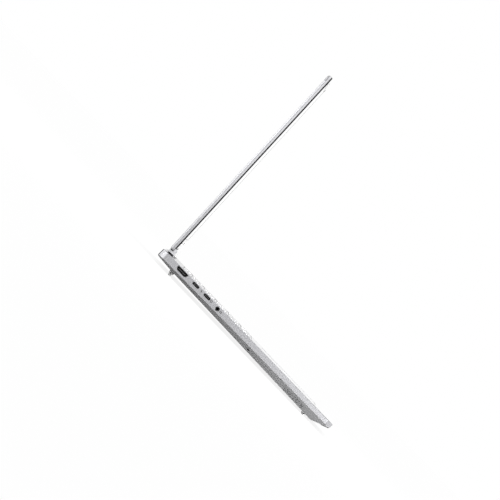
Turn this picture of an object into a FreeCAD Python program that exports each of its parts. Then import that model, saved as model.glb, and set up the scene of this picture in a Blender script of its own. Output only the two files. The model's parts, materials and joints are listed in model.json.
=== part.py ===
import FreeCAD, Part
import math
import os
import re
import Sketcher
from FreeCAD import Placement, Rotation, Vector

# A laptop computer, open. X runs from the user's left to right, Y from front to rear and Z up from the desk.
# The origin is on the desk, under the middle of the open laptop's outline.

doc = FreeCAD.newDocument("laptop")
dim = doc.addObject("Spreadsheet::Sheet", "dim")

sizes = {
    # Base, seen from the side: the seam and the belly are measured down from the deck
    "base_width": 359,
    "base_depth": 251,
    "deck_height": 15.8,
    "corner_round": 8,
    "edge_round": 0.5,
    "wall": 1.5,
    "deck_thick": 1.4,
    "floor_thick": 1.2,
    "seam_rear_drop": 7.9,
    "seam_front_drop": 5,
    "ramp_drop": 9.3,
    "ramp_length": 21,
    "belly_rear_drop": 10.5,
    "belly_front_drop": 13.2,
    "bevel_length": 20,
    "side_run": 0.9,
    # Trough in the deck, where the hinge cover turns
    "trough_rear": 2.6,
    "trough_front": 14.4,
    "trough_depth": 3.8,
    "trough_inset": 14.5,
    # Lid, measured from the hinge axis
    "lid_tilt": 3.7,
    "axis_setback": 6.6,
    "axis_rise": 3.3,
    "axis_depth": 2.5,
    "lid_thick": 5.7,
    "lid_back": 1.2,
    "lid_wall": 1.6,
    "lid_round": 2.4,
    "leg_end": 2,
    "leg_width": 18,
    "leg_round": 1.6,
    "bezel_thick": 1.1,
    "bezel_inset": 0.5,
    "bezel_low": 6,
    "bezel_round": 0.35,
    "screen_side": 7.15,
    "screen_head": 10,
    "screen_low": 19,
    "screen_margin": 0.4,
    "panel_border": 2.2,
    "panel_chin": 6,
    "panel_thick": 2.6,
    "screen_sink": 0.08,
    "bumper_length": 12,
    "bumper_width": 2.4,
    "bumper_thick": 0.4,
    # Hinge cover and the black strip under it
    "cover_front": 5.2,
    "cover_back": 2.8,
    "cover_low": 3.1,
    "cover_top": 5.15,
    "cover_round": 2.2,
    "cover_gap": 3.5,
    "skirt": 0.5,
    "strip_low": 3.3,
    "strip_thick": 1.85,
    # Hinges: an ear on the base and an eye on the lid, with a pin through both
    "hinge_inset": 61.5,
    "pin_radius": 1.6,
    "pin_clear": 0.03,
    "pin_head": 1.2,
    "ear_thick": 3,
    "ear_radius": 2.6,
    "eye_thick": 3,
    "eye_radius": 2.5,
    "washer_thick": 0.5,
    "washer_radius": 2.4,
    "hinge_gap": 0.6,
    "bracket_length": 24,
    "bracket_thick": 0.6,
    "arm_length": 40,
    "arm_height": 7,
    "arm_thick": 0.9,
    # Camera in the lid's top border, with a sliding shutter
    "camera_length": 42,
    "camera_height": 5,
    "camera_thick": 2.4,
    "lens_radius": 1.6,
    "lens_thick": 0.4,
    "lens_clear": 0.1,
    "shutter_length": 7,
    "shutter_height": 3.8,
    "shutter_thick": 0.5,
    "shutter_travel": 6,
    "shutter_clear": 0.15,
    # Keyboard: fifteen units wide, six rows
    "keyboard_margin": 38.5,
    "key_gap": 3,
    "key_depth": 15.5,
    "short_key_depth": 9.5,
    "arrow_gap": 1.4,
    "key_height": 2,
    "key_rise": 0.2,
    "key_travel": 1.4,
    "key_corner": 1.3,
    "key_edge": 0.3,
    "key_clear": 0.4,
    "keyboard_setback": 27,
    "keyboard_rim": 0.8,
    "frame_drop": 0.3,
    "dome_radius": 2.6,
    "dome_height": 0.7,
    "dome_gap": 0.2,
    "membrane_thick": 0.3,
    "plate_thick": 0.8,
    "plate_lap": 3.6,
    "frame_clear": 0.1,
    "well_wall": 1.6,
    # Touchpad and its bracket
    "pad_width": 125,
    "pad_setback": 146,
    "pad_margin": 25,
    "pad_thick": 1.6,
    "pad_drop": 0.15,
    "pad_clear": 0.4,
    "pad_corner": 3,
    "pad_play": 0.6,
    "pad_bracket_thick": 0.8,
    "pad_bracket_lap": 2.4,
    # Left wall: display socket, two data sockets and the audio jack, from the rear and down from the deck
    "display_socket_setback": 29.6,
    "display_socket_drop": 3.1,
    "display_socket_width": 14,
    "display_socket_height": 4.4,
    "display_socket_slope": 1.9,
    "data_socket_setback": 49.4,
    "data_socket_pitch": 16.6,
    "data_socket_drop": 2.4,
    "data_socket_width": 8.8,
    "data_socket_height": 3,
    "jack_setback": 82.4,
    "jack_drop": 3.2,
    "jack_radius": 1.8,
    "jack_collar": 2.4,
    "jack_length": 14.7,
    "jack_body": 5,
    # Right wall: two wide sockets on a board of their own
    "wide_socket_setback": 34,
    "wide_socket_pitch": 22,
    "wide_socket_drop": 4.2,
    "wide_socket_width": 13.2,
    "wide_socket_height": 5.4,
    "side_board_width": 24,
    "side_board_inset": 4,
    "side_board_edge": 5,
    "socket_depth": 10,
    "socket_skin": 0.35,
    "socket_clear": 0.12,
    "socket_sink": 0.25,
    "socket_roof": 0.6,
    "tongue_thick": 0.8,
    "tongue_gap": 1.1,
    # Boards, cooling and battery under the keyboard
    "standoff": 0.7,
    "standoff_inset": 4.4,
    "board_thick": 1,
    "board_inset": 9.5,
    "board_gap": 6,
    "board_rear": 27,
    "board_front": 112,
    "chip_inset": 36,
    "chip_setback": 55,
    "chip_length": 40,
    "chip_depth": 26,
    "chip_thick": 0.9,
    "pipe_width": 7,
    "pipe_thick": 1,
    "pipe_setback": 17,
    "pipe_bend": 6,
    "fan_inset": 87.5,
    "fan_setback": 26,
    "fan_width": 60,
    "fan_depth": 54,
    "fan_thick": 3.8,
    "fan_skin": 0.4,
    "rotor_radius": 23,
    "rotor_gap": 1.2,
    "intake_radius": 17.25,
    "rotor_play": 0.25,
    "hub_radius": 8,
    "spindle_radius": 1,
    "spindle_clear": 0.05,
    "blade_thick": 0.6,
    "fin_setback": 4,
    "fin_depth": 18.2,
    "fin_height": 2.2,
    "fin_thick": 0.4,
    "fin_pitch": 2,
    "battery_gap": 4.5,
    "battery_setback": 126,
    "battery_margin": 39,
    "battery_thick": 4.7,
    "battery_round": 1,
    "drive_length": 80,
    "card_depth": 22,
    "card_thick": 2,
    "memory_length": 67.6,
    "memory_depth": 30,
    "wireless_length": 30,
    "speaker_length": 28,
    "speaker_depth": 30,
    "speaker_margin": 64,
    "speaker_inset": 12,
    "speaker_drop": 11,
    "speaker_height": 5,
    # Vents, screws and feet
    "slot_width": 1.8,
    "slot_pitch": 3.6,
    "slot_length": 26,
    "vent_width": 2.6,
    "vent_height": 1.8,
    "vent_pitch": 4,
    "vent_rise": 0.6,
    "post_radius": 2.2,
    "rear_post_inset": 24.5,
    "rear_post_setback": 19.5,
    "middle_post_inset": 27.5,
    "middle_post_setback": 120,
    "front_post_inset": 39.5,
    "front_post_margin": 25,
    "post_gap": 0.3,
    "screw_radius": 1,
    "screw_clear": 0.1,
    "screw_head": 2,
    "screw_head_thick": 0.6,
    "screw_length": 4.6,
    "rear_foot_inset": 39.5,
    "rear_foot_setback": 18.9,
    "rear_foot_width": 7,
    "rear_foot_tread": 2,
    "front_foot_length": 45,
    "front_foot_inset": 64.5,
    "front_foot_margin": 32.4,
    "front_foot_width": 6.2,
    "front_foot_tread": 1.4,
    "foot_round": 0.6,
    # Display cable, which turns about the hinge axis
    "cable_radius": 1.1,
    "cable_inset": 26,
    "cable_run": 16,
    "cable_bend": 4,
    "cable_clear": 0.5,
    # How far cuts run past what they cut
    "spare": 5,
}

# Counts, which don't scale
unit_count = 15
full_rows = 5
blades = 22
vents = 15
slots = 14
fins = 26

for row, (alias, size) in enumerate(sizes.items(), start=1):
    dim.set(f"A{row}", alias)
    dim.set(f"B{row}", str(size))
    dim.setAlias(f"B{row}", alias)
doc.recompute()

# Places and sizes that follow from the sheet. Lid values are measured from the hinge axis.
derived = {
    "seam_rear": "deck_height - seam_rear_drop",
    "seam_front": "deck_height - seam_front_drop",
    "ramp_height": "deck_height - ramp_drop",
    "belly_rear": "deck_height - belly_rear_drop",
    "belly_front": "deck_height - belly_front_drop",
    "display_socket_z": "deck_height - display_socket_drop",
    "data_socket_z": "deck_height - data_socket_drop",
    "jack_z": "deck_height - jack_drop",
    "wide_socket_z": "deck_height - wide_socket_drop",
    "speaker_low": "deck_height - speaker_drop",
    "lid_reach": "base_depth - axis_setback",
    "lid_overhang": "lid_reach * sin(lid_tilt) + lid_rear * cos(lid_tilt) - axis_setback",
    "rear_y": "(base_depth - lid_overhang) / 2",
    "front_y": "rear_y - base_depth",
    "axis_y": "rear_y - axis_setback",
    "axis_z": "deck_height + axis_rise",
    "half_width": "base_width / 2",
    "seam_rise": "(seam_front - seam_rear) / base_depth",
    "belly_fall": "(belly_rear - belly_front) / (base_depth - ramp_length - bevel_length)",
    "ramp_fall": "(ramp_height - belly_rear) / ramp_length",
    "bevel_rise": "(seam_front - belly_front) / bevel_length",
    "trough_z": "deck_height - trough_depth",
    "trough_half": "half_width - trough_inset",
    "key_top": "deck_height + key_rise",
    "membrane_top": "key_top - key_height - key_travel - dome_gap - dome_height",
    "plate_top": "membrane_top - membrane_thick",
    "plate_low": "plate_top - plate_thick",
    "plate_half": "well_half + plate_lap",
    "board_top": "plate_low - standoff",
    "board_low": "board_top - board_thick",
    "chip_low": "board_low - chip_thick",
    "key_pitch": f"(base_width - 2 * keyboard_margin + key_gap) / {unit_count}",
    "keys_width": f"{unit_count} * key_pitch - key_gap",
    "keys_left": "-keys_width / 2",
    "row_pitch": "key_depth + key_gap",
    "keys_end": f"keyboard_setback + short_key_depth + {full_rows} * row_pitch",
    "well_half": "keys_width / 2 + keyboard_rim",
    "well_rear": "keyboard_setback - keyboard_rim",
    "well_front": "keys_end + keyboard_rim",
    "pad_top": "deck_height - pad_drop",
    "pad_end": "base_depth - pad_margin",
    "pad_bracket_top": "pad_top - pad_thick - pad_play",
    "lid_rear": "lid_thick - axis_depth",
    "lid_rim": "bezel_thick - axis_depth",
    "lid_inner": "-axis_depth",
    "lid_floor": "lid_rear - lid_back",
    "leg_inner": "half_width - leg_width",
    "screen_half": "half_width - screen_side",
    "screen_top": "lid_reach - screen_head",
    "camera_u": "lid_reach - lid_wall - camera_height / 2",
    "shutter_bed": "lid_inner + shutter_thick + shutter_clear / 2",
    "cover_half": "trough_half - cover_gap",
    "strip_top": "strip_thick - strip_low",
    "hinge_x": "half_width - hinge_inset",
    "notch_outer": "ear_thick / 2 + washer_thick + pin_head + hinge_gap",
    "notch_inner": "ear_thick / 2 + washer_thick + eye_thick + hinge_gap",
    "notch_top": "ear_radius + hinge_gap",
    "fan_x": "half_width - fan_inset",
    "fan_low": "plate_low - fan_thick",
    "fan_y": "rear_y - fan_setback - fan_depth / 2",
    "board_left": "half_width - board_inset",
    "board_right": "fan_x - fan_width / 2 - board_gap",
    "chip_x": "board_right - chip_inset",
    "cable_x": "board_right - cable_inset",
    "battery_half": "half_width - speaker_inset - speaker_length - battery_gap",
    "battery_end": "base_depth - battery_margin",
    "speaker_setback": "base_depth - speaker_margin",
    "front_post_setback": "base_depth - front_post_margin",
    "front_foot_setback": "base_depth - front_foot_margin",
    "front_foot_x": "half_width - front_foot_inset",
    "rear_foot_length": "base_width - 2 * rear_foot_inset",
}


def formula(text):
    """The text with each named size written as its cell and each derived name written out."""
    def spell(match):
        word = match.group(0)
        if word in sizes:
            return "dim." + word
        if word in derived:
            return "(" + formula(derived[word]) + ")"
        return word
    return re.sub(r"[a-z]\w*", spell, text)


tolerance = 1e-4
ruler = doc.addObject("App::FeaturePython", "ruler")
ruler.addProperty("App::PropertyFloat", "reading")


def measure(text):
    """The number that a formula comes to."""
    ruler.setExpression("reading", formula(text))
    ruler.recompute()
    return ruler.reading


def bind(thing, **formulas):
    for name, text in formulas.items():
        thing.setExpression(name, formula(text))
    return thing


def move(thing, x="0", y="0", z="0"):
    for letter, text in zip("xyz", (x, y, z)):
        thing.setExpression(f"Placement.Base.{letter}", formula(text))
    return thing


def lean(thing):
    """Seat a piece that is drawn upright about the hinge axis, at the open lid's angle."""
    thing.Placement = Placement(Vector(0, 0, 0), Rotation(Vector(1, 0, 0), -1))
    thing.setExpression("Placement.Rotation.Angle", formula("-lid_tilt"))
    return move(thing, "0", "axis_y", "axis_z")


def evenly(half):
    """The two ends of a stretch that is centred on an axis."""
    return f"-({half})", half


def block(name, x, y, z):
    """A box between two formulas on each axis."""
    box = doc.addObject("Part::Box", name)
    bind(box, Length=f"({x[1]}) - ({x[0]})", Width=f"({y[1]}) - ({y[0]})", Height=f"({z[1]}) - ({z[0]})")
    return move(box, x[0], y[0], z[0])


def base_block(name, x, setback, z):
    """A box in the base, with its depth measured forward from the rear end."""
    return block(name, x, (f"rear_y - ({setback[1]})", f"rear_y - ({setback[0]})"), z)


def rod(name, radius, length, x, y, z, along="Z"):
    """A cylinder that starts at a point and runs along Z or X."""
    cylinder = doc.addObject("Part::Cylinder", name)
    if along == "X":
        cylinder.Placement = Placement(Vector(0, 0, 0), Rotation(Vector(0, 1, 0), 90))
    bind(cylinder, Radius=radius, Height=length)
    return move(cylinder, x, y, z)


def cut(name, base, tool):
    result = doc.addObject("Part::Cut", name)
    result.Base = base
    result.Tool = tool
    return result


def fuse(name, pieces):
    result = doc.addObject("Part::MultiFuse", name)
    result.Shapes = pieces
    result.Refine = True
    return result


def gather(name, pieces):
    result = doc.addObject("Part::Compound", name)
    result.Links = pieces
    return result


def new_body(name):
    return doc.addObject("PartDesign::Body", name)


def origin_plane(body, role):
    return next(plane for plane in body.Origin.OriginFeatures if plane.Role == role)


def new_sketch(body, plane, offset):
    sketch = body.newObject("Sketcher::SketchObject", body.Name + "_sketch")
    sketch.AttachmentSupport = [(origin_plane(body, plane), "")]
    sketch.MapMode = "FlatFace"
    sketch.setExpression("AttachmentOffset.Base.z", formula(offset))
    return sketch


def pin_point(sketch, edge, end, x, y):
    """Hold one end of a sketched edge at two formulas from the sketch's origin."""
    for kind, text in (("DistanceX", x), ("DistanceY", y)):
        index = sketch.addConstraint(Sketcher.Constraint(kind, -1, 1, edge, end, 1.0))
        sketch.setExpression(f"Constraints[{index}]", formula(text))


def outline(body, plane, *loops, offset="0"):
    """A sketch of closed polygons, each a list of corner formulas."""
    sketch = new_sketch(body, plane, offset)
    for corners in loops:
        count = len(corners)
        first = sketch.GeometryCount
        guesses = [
            Vector(math.cos(2 * math.pi * i / count), math.sin(2 * math.pi * i / count), 0)
            for i in range(count)
        ]
        for i in range(count):
            sketch.addGeometry(Part.LineSegment(guesses[i], guesses[(i + 1) % count]))
        for i in range(count):
            following = first + (i + 1) % count
            sketch.addConstraint(Sketcher.Constraint("Coincident", first + i, 2, following, 1))
        for i, (x, y) in enumerate(corners):
            pin_point(sketch, first + i, 1, x, y)
    return sketch


def rectangle(x, y):
    """The corners of a rectangle between two formulas on each axis."""
    return [(x[0], y[0]), (x[1], y[0]), (x[1], y[1]), (x[0], y[1])]


def disc(body, plane, radius, x="0", y="0", offset="0"):
    sketch = new_sketch(body, plane, offset)
    sketch.addGeometry(Part.Circle(Vector(0, 0, 0), Vector(0, 0, 1), 1))
    index = sketch.addConstraint(Sketcher.Constraint("Radius", 0, 1.0))
    sketch.setExpression(f"Constraints[{index}]", formula(radius))
    pin_point(sketch, 0, 3, x, y)
    return sketch


def pad(body, sketch, length, side="One side", back=False):
    feature = body.newObject("PartDesign::Pad", body.Name + "_pad")
    feature.Profile = sketch
    feature.SideType = side
    feature.Reversed = back
    return bind(feature, Length=length)


def pocket(body, sketch, length, back=False):
    feature = body.newObject("PartDesign::Pocket", body.Name + "_pocket")
    feature.Profile = sketch
    feature.Reversed = back
    return bind(feature, Length=length)


def cut_through(body, sketch):
    feature = body.newObject("PartDesign::Pocket", body.Name + "_cut")
    feature.Profile = sketch
    feature.Type = "ThroughAll"
    feature.SideType = "Symmetric"
    return feature


def edges_where(body, test):
    """The names of the body's edges that pass a test on the edge."""
    doc.recompute()
    return [f"Edge{i}" for i, edge in enumerate(body.Tip.Shape.Edges, start=1) if test(edge)]


def dress(body, kind, amount, test):
    """Round or chamfer the body's edges that pass a test."""
    names = edges_where(body, test)
    feature = body.newObject(f"PartDesign::{kind}", f"{body.Name}_{kind.lower()}")
    feature.Base = (feature.BaseFeature, names)
    return bind(feature, **{"Radius" if kind == "Fillet" else "Size": amount})


def runs_along(letter):
    """A test for straight edges along one axis."""
    others = [axis for axis in "XYZ" if axis != letter]

    def test(edge):
        bounds = edge.BoundBox
        return all(getattr(bounds, axis + "Length") < tolerance for axis in others)
    return test


def lies_at(letter, text):
    """A test for edges that lie whole in a plane across one axis."""
    level = measure(text)

    def test(edge):
        bounds = edge.BoundBox
        return max(abs(getattr(bounds, letter + end) - level) for end in ("Min", "Max")) < tolerance
    return test


def both(first, second):
    return lambda edge: first(edge) and second(edge)


def line_up(body, plane, spacing, count):
    """Repeat a whole body along the normal of one of its origin planes."""
    pattern = body.newObject("PartDesign::LinearPattern", body.Name + "_pattern")
    pattern.TransformMode = "Whole shape"
    pattern.Direction = (origin_plane(body, plane), [""])
    pattern.Mode = "Spacing"
    pattern.Occurrences = count
    bind(pattern, Offset=spacing)
    body.Tip = pattern
    return pattern


nodes = []


def node(name, thing):
    """Name a finished sub-part."""
    thing.Label = name
    nodes.append(thing)
    return thing


def seam(setback):
    return f"(seam_rear + seam_rise * ({setback}))"


def belly(setback):
    return f"(belly_rear - belly_fall * (({setback}) - ramp_length))"


def ramp(setback):
    return f"(ramp_height - ramp_fall * ({setback}))"


def hull(name, inset, roof, floor):
    """The base's outer form, or its hollow when inset, from the belly up to a roof height."""
    body = new_body(name)
    half = f"half_width - {inset}"
    plan = rectangle(evenly(half), (f"front_y + {inset}", f"rear_y - {inset}"))
    pad(body, outline(body, "XY_Plane", plan), roof)
    dress(body, "Fillet", f"corner_round - {inset}", runs_along("Z"))
    under = [
        ("rear_y + spare", f"ramp_height + ramp_fall * spare + {floor}"),
        ("rear_y - ramp_length", f"belly_rear + {floor}"),
        ("front_y + bevel_length", f"belly_front + {floor}"),
        ("front_y - spare", f"seam_front + bevel_rise * spare + {floor}"),
        ("front_y - spare", "-spare"),
        ("rear_y + spare", "-spare"),
    ]
    cut_through(body, outline(body, "YZ_Plane", under))
    # The sloped sides lean in from the seam, so their cut runs along the seam
    start = "seam_front + seam_rise * spare"
    edge = f"half_width - {inset} - {inset} * side_run"
    drop = "deck_height + spare"
    sides = []
    for sign in ("", "-"):
        sides.append([
            (f"{sign}({edge})", start),
            (f"{sign}({edge} - side_run * ({drop}))", f"{start} - ({drop})"),
            (f"{sign}(half_width + spare)", f"{start} - ({drop})"),
            (f"{sign}(half_width + spare)", start),
        ])
    section = outline(body, "XZ_Plane", *sides, offset="-(front_y - spare)")
    wedge = pocket(body, section, "base_depth + 2 * spare")
    wedge.UseCustomVector = True
    wedge.Direction = Vector(0, measure("base_depth"), measure("seam_rear - seam_front"))
    return body


def trim_at_seam(body, far):
    """Cut away what lies between the seam and a far height."""
    cut_through(body, outline(body, "YZ_Plane", [
        ("rear_y + spare", "seam_rear - seam_rise * spare"),
        ("front_y - spare", "seam_front + seam_rise * spare"),
        ("front_y - spare", far),
        ("rear_y + spare", far),
    ]))


upper_form = hull("upper_form", "0", "deck_height", "0")
trim_at_seam(upper_form, "-spare")
dress(upper_form, "Fillet", "edge_round", lies_at("Z", "deck_height"))
lower_form = hull("lower_form", "0", "deck_height", "0")
trim_at_seam(lower_form, "deck_height + spare")
hollow = hull("hollow", "wall", "deck_height - deck_thick", "floor_thick")

# Top case: the upper shell with its trough, keyboard well, touchpad well and screw posts


def well(name, half, setback, low):
    """A rim that hangs from the deck round an opening, with the opening itself."""
    rim = base_block(
        name + "_rim",
        evenly(f"{half} + well_wall"),
        (f"{setback[0]} - well_wall", f"{setback[1]} + well_wall"),
        (low, "deck_height - deck_thick / 2"),
    )
    through = (f"{low} - spare", "deck_height + spare")
    opening = base_block(name + "_opening", evenly(half), setback, through)
    return rim, opening


post_rows = [
    ("rear_post_inset", "rear_post_setback", ramp("rear_post_setback")),
    ("middle_post_inset", "middle_post_setback", belly("middle_post_setback")),
    ("front_post_inset", "front_post_setback", belly("front_post_setback")),
]
post_spots = [
    (f"{side}(half_width - {inset})", f"rear_y - {setback}", under)
    for inset, setback, under in post_rows
    for side in ("-", "")
]

posts = []
post_holes = []
for x, y, under in post_spots:
    foot = f"{under} + floor_thick + post_gap"
    posts.append(rod("post", "post_radius", f"deck_height - deck_thick / 2 - ({foot})", x, y, foot))
    depth = f"{under} + screw_length + post_gap - ({foot})"
    post_holes.append(rod("post_hole", "screw_radius + screw_clear", depth, x, y, foot))

trough_block = base_block(
    "trough_block",
    evenly("trough_half + wall"),
    ("wall / 2", "trough_front + wall"),
    ("trough_z - floor_thick", "deck_height - deck_thick / 2"),
)
trough_space = base_block(
    "trough_space",
    evenly("trough_half"),
    ("trough_rear", "trough_front"),
    ("trough_z", "deck_height + spare"),
)
keyboard_rim, keyboard_opening = well("keyboard", "well_half", ("well_rear", "well_front"), "plate_top")
pad_rim, pad_opening = well(
    "pad", "pad_width / 2 + pad_clear", ("pad_setback - pad_clear", "pad_end + pad_clear"), "pad_bracket_top"
)

vent_row = []
for i in range(vents):
    left = f"fan_x + ({i} - {(vents - 1) / 2}) * vent_pitch - vent_width / 2"
    vent_row.append(base_block(
        "vent",
        (left, f"{left} + vent_width"),
        ("-spare", "wall + vent_height"),
        ("seam_rear + vent_rise", "seam_rear + vent_rise + vent_height"),
    ))


def profile(body, action, kind, width, height, length, offset="0", back=False):
    """Pad or pocket a socket's section: plain, rounded at both ends, or with its lower corners sloped."""
    sections = []
    half, rise = f"({width}) / 2", f"({height}) / 2"
    if kind == "plain":
        sections.append(outline(body, "YZ_Plane", rectangle(evenly(half), evenly(rise)), offset=offset))
    elif kind == "round":
        straight = f"({half} - {rise})"
        box = rectangle(evenly(straight), evenly(rise))
        sections.append(outline(body, "YZ_Plane", box, offset=offset))
        sections.append(disc(body, "YZ_Plane", rise, x=straight, offset=offset))
        sections.append(disc(body, "YZ_Plane", rise, x=f"-{straight}", offset=offset))
    else:
        waist = f"({half} - display_socket_slope)"
        sections.append(outline(body, "YZ_Plane", [
            (f"-{half}", rise),
            (f"-{half}", f"display_socket_slope - {rise}"),
            (f"-{waist}", f"-{rise}"),
            (waist, f"-{rise}"),
            (half, f"display_socket_slope - {rise}"),
            (half, rise),
        ], offset=offset))
    for section in sections:
        action(body, section, length, back=back)


def socket_hole(name, kind, width, height):
    """The opening in the side wall for a socket, round its mouth."""
    body = new_body(name + "_hole")
    across, tall = f"{width} + 2 * socket_clear", f"{height} + 2 * socket_clear"
    profile(body, pad, kind, across, tall, "wall + 2 * spare", offset="-spare")
    return body


def socket(name, kind, width, height, tongue):
    """A socket's metal shell, open at its mouth, with a tongue inside on the back wall."""
    body = new_body(name)
    profile(body, pad, kind, width, height, "socket_depth")
    across, tall = f"{width} - 2 * socket_skin", f"{height} - 2 * socket_skin"
    profile(body, pocket, kind, across, tall, "socket_depth - socket_skin", back=True)
    half = f"({tongue}) / 2"
    blade = rectangle(evenly(half), evenly("tongue_thick / 2"))
    reach = "socket_depth - socket_skin / 2 - tongue_gap"
    pad(body, outline(body, "YZ_Plane", blade, offset="tongue_gap"), reach)
    return body


left_mouth = "socket_sink - half_width"
right_mouth = "half_width - socket_sink"


def seat_left(body, setback, z):
    return move(body, left_mouth, f"rear_y - ({setback})", z)


def seat_right(body, setback, z):
    body.Placement = Placement(Vector(0, 0, 0), Rotation(Vector(0, 0, 1), 180))
    return move(body, right_mouth, f"rear_y - ({setback})", z)


display_size = ("sloped", "display_socket_width", "display_socket_height")
data_size = ("round", "data_socket_width", "data_socket_height")
wide_size = ("plain", "wide_socket_width", "wide_socket_height")
data_setbacks = ["data_socket_setback", "data_socket_setback + data_socket_pitch"]
wide_setbacks = ["wide_socket_setback", "wide_socket_setback + wide_socket_pitch"]

port_holes = [seat_left(socket_hole("display", *display_size), "display_socket_setback", "display_socket_z")]
for setback in data_setbacks:
    port_holes.append(seat_left(socket_hole("data", *data_size), setback, "data_socket_z"))
for setback in wide_setbacks:
    port_holes.append(seat_right(socket_hole("wide", *wide_size), setback, "wide_socket_z"))
port_holes.append(rod(
    "jack_hole", "jack_collar + socket_clear", "wall + 2 * spare",
    f"{left_mouth} - spare", "rear_y - jack_setback", "jack_z", along="X",
))
port_roof = base_block(
    "port_roof",
    ("wall - half_width", "wall - half_width + jack_length + spare"),
    ("display_socket_setback - display_socket_width", "jack_setback + jack_body"),
    ("deck_height - deck_thick - spare", "deck_height - socket_roof"),
)
cable_room = "cable_radius + cable_clear"
cable_up = "cable_x - cable_run"
cable_down = "cable_x + 2 * cable_bend"
cable_hole = block(
    "cable_hole", (f"{cable_down} - ({cable_room})", f"{cable_down} + {cable_room}"),
    (f"axis_y - cable_bend - ({cable_room})", f"axis_y + {cable_room}"),
    ("trough_z - floor_thick - spare", "trough_z + spare"),
)

top_shell = cut("top_shell", upper_form, hollow)
top_ribs = fuse("top_ribs", [top_shell, trough_block, keyboard_rim, pad_rim, *posts])
top_cuts = gather("top_cuts", [
    trough_space, keyboard_opening, pad_opening, port_roof, cable_hole, *port_holes, *vent_row, *post_holes,
])
node("top_case", cut("top_case", top_ribs, top_cuts))

# Bottom cover: the lower shell, with intake slots under the fan and countersunk screw holes
slot = new_body("slot")
slot_plan = rectangle(("0", "slot_width"), ("0", "slot_length"))
pad(slot, outline(slot, "XY_Plane", slot_plan), "deck_height")
dress(slot, "Fillet", "0.499 * slot_width", runs_along("Z"))
line_up(slot, "YZ_Plane", "slot_pitch", slots)
move(slot, f"fan_x - {(slots - 1) / 2} * slot_pitch - slot_width / 2", "fan_y - slot_length / 2", "-spare")

cover_holes = []
screws = []
for x, y, under in post_spots:
    start = f"{under} - spare"
    through = "floor_thick + 2 * spare"
    sink = "screw_head_thick + screw_clear + spare"
    cover_holes.append(rod("screw_hole", "screw_radius + screw_clear", through, x, y, start))
    cover_holes.append(rod("head_hole", "screw_head + screw_clear", sink, x, y, start))
    head = rod("screw_head", "screw_head", "screw_head_thick", x, y, f"{under} + screw_clear")
    shank = rod("screw_shank", "screw_radius", "screw_length - screw_clear", x, y, f"{under} + screw_clear")
    screws.append(fuse("screw", [head, shank]))

bottom_shell = cut("bottom_shell", lower_form, hollow)
node("bottom_cover", cut("bottom_cover", bottom_shell, gather("bottom_cuts", [slot, *cover_holes])))
node("bottom_screws", gather("bottom_screws", screws))


def foot(name, setback, width, tread, length, height):
    """A rubber wedge under the bottom cover that narrows to a flat tread on the desk."""
    body = new_body(name)
    middle = f"rear_y - {setback} - {width} / 2"
    section = [
        (f"rear_y - {setback}", height),
        (f"{middle} + {tread} / 2", "0"),
        (f"{middle} - {tread} / 2", "0"),
        (f"rear_y - {setback} - {width}", height),
    ]
    pad(body, outline(body, "YZ_Plane", section), length, side="Symmetric")
    dress(body, "Fillet", "foot_round", both(runs_along("X"), lies_at("Z", "0")))
    return body


rear_wedge = foot(
    "rear_wedge", "rear_foot_setback", "rear_foot_width", "rear_foot_tread", "rear_foot_length",
    "belly_rear + floor_thick / 2",
)
front_wedge = foot(
    "front_wedge", "front_foot_setback", "front_foot_width", "front_foot_tread", "front_foot_length",
    "belly_front + floor_thick",
)
line_up(front_wedge, "YZ_Plane", "2 * front_foot_x", 2)
move(front_wedge, "-front_foot_x")
node("rear_foot", cut("rear_foot", rear_wedge, lower_form))
node("front_feet", cut("front_feet", front_wedge, lower_form))

# Keyboard: each key slides in its hole in the frame, over a dome on the membrane


def row_start(row):
    """A key row's rear edge, measured from the rear end, and its depth."""
    if row == 0:
        return "keyboard_setback", "short_key_depth"
    return f"keyboard_setback + short_key_depth + key_gap + {row - 1} * row_pitch", "key_depth"


arrow_depth = "(key_depth - arrow_gap) / 2"
key_holes = []
domes = []


def keys(name, row, first, units=1, count=1, share="whole"):
    """Like keys side by side, from their first unit. Arrow keys take the rear or front half of the row."""
    setback, depth = row_start(row)
    if share == "front":
        setback = f"{setback} + {arrow_depth} + arrow_gap"
    if share != "whole":
        depth = arrow_depth
    across = f"({units} * key_pitch - key_gap)"
    low = f"rear_y - ({setback} + {depth})"
    body = new_body(name)
    pad(body, outline(body, "XY_Plane", rectangle(("0", across), ("0", depth))), "key_height")
    dress(body, "Fillet", "key_corner", runs_along("Z"))
    dress(body, "Chamfer", "key_edge", lies_at("Z", "key_height"))
    if count > 1:
        line_up(body, "YZ_Plane", "key_pitch", count)
    for i in range(count):
        left = f"(keys_left + {first + i} * key_pitch)"
        key_holes.append(base_block(
            "key_hole",
            (f"{left} - key_clear", f"{left} + {across} + key_clear"),
            (f"{setback} - key_clear", f"{setback} + {depth} + key_clear"),
            ("membrane_top - spare", "deck_height + spare"),
        ))
        x, y = f"{left} + {across} / 2", f"{low} + ({depth}) / 2"
        domes.append(rod("dome", "dome_radius", "dome_height", x, y, "membrane_top"))
    return move(body, f"keys_left + {first} * key_pitch", low, "key_top - key_height")


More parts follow.
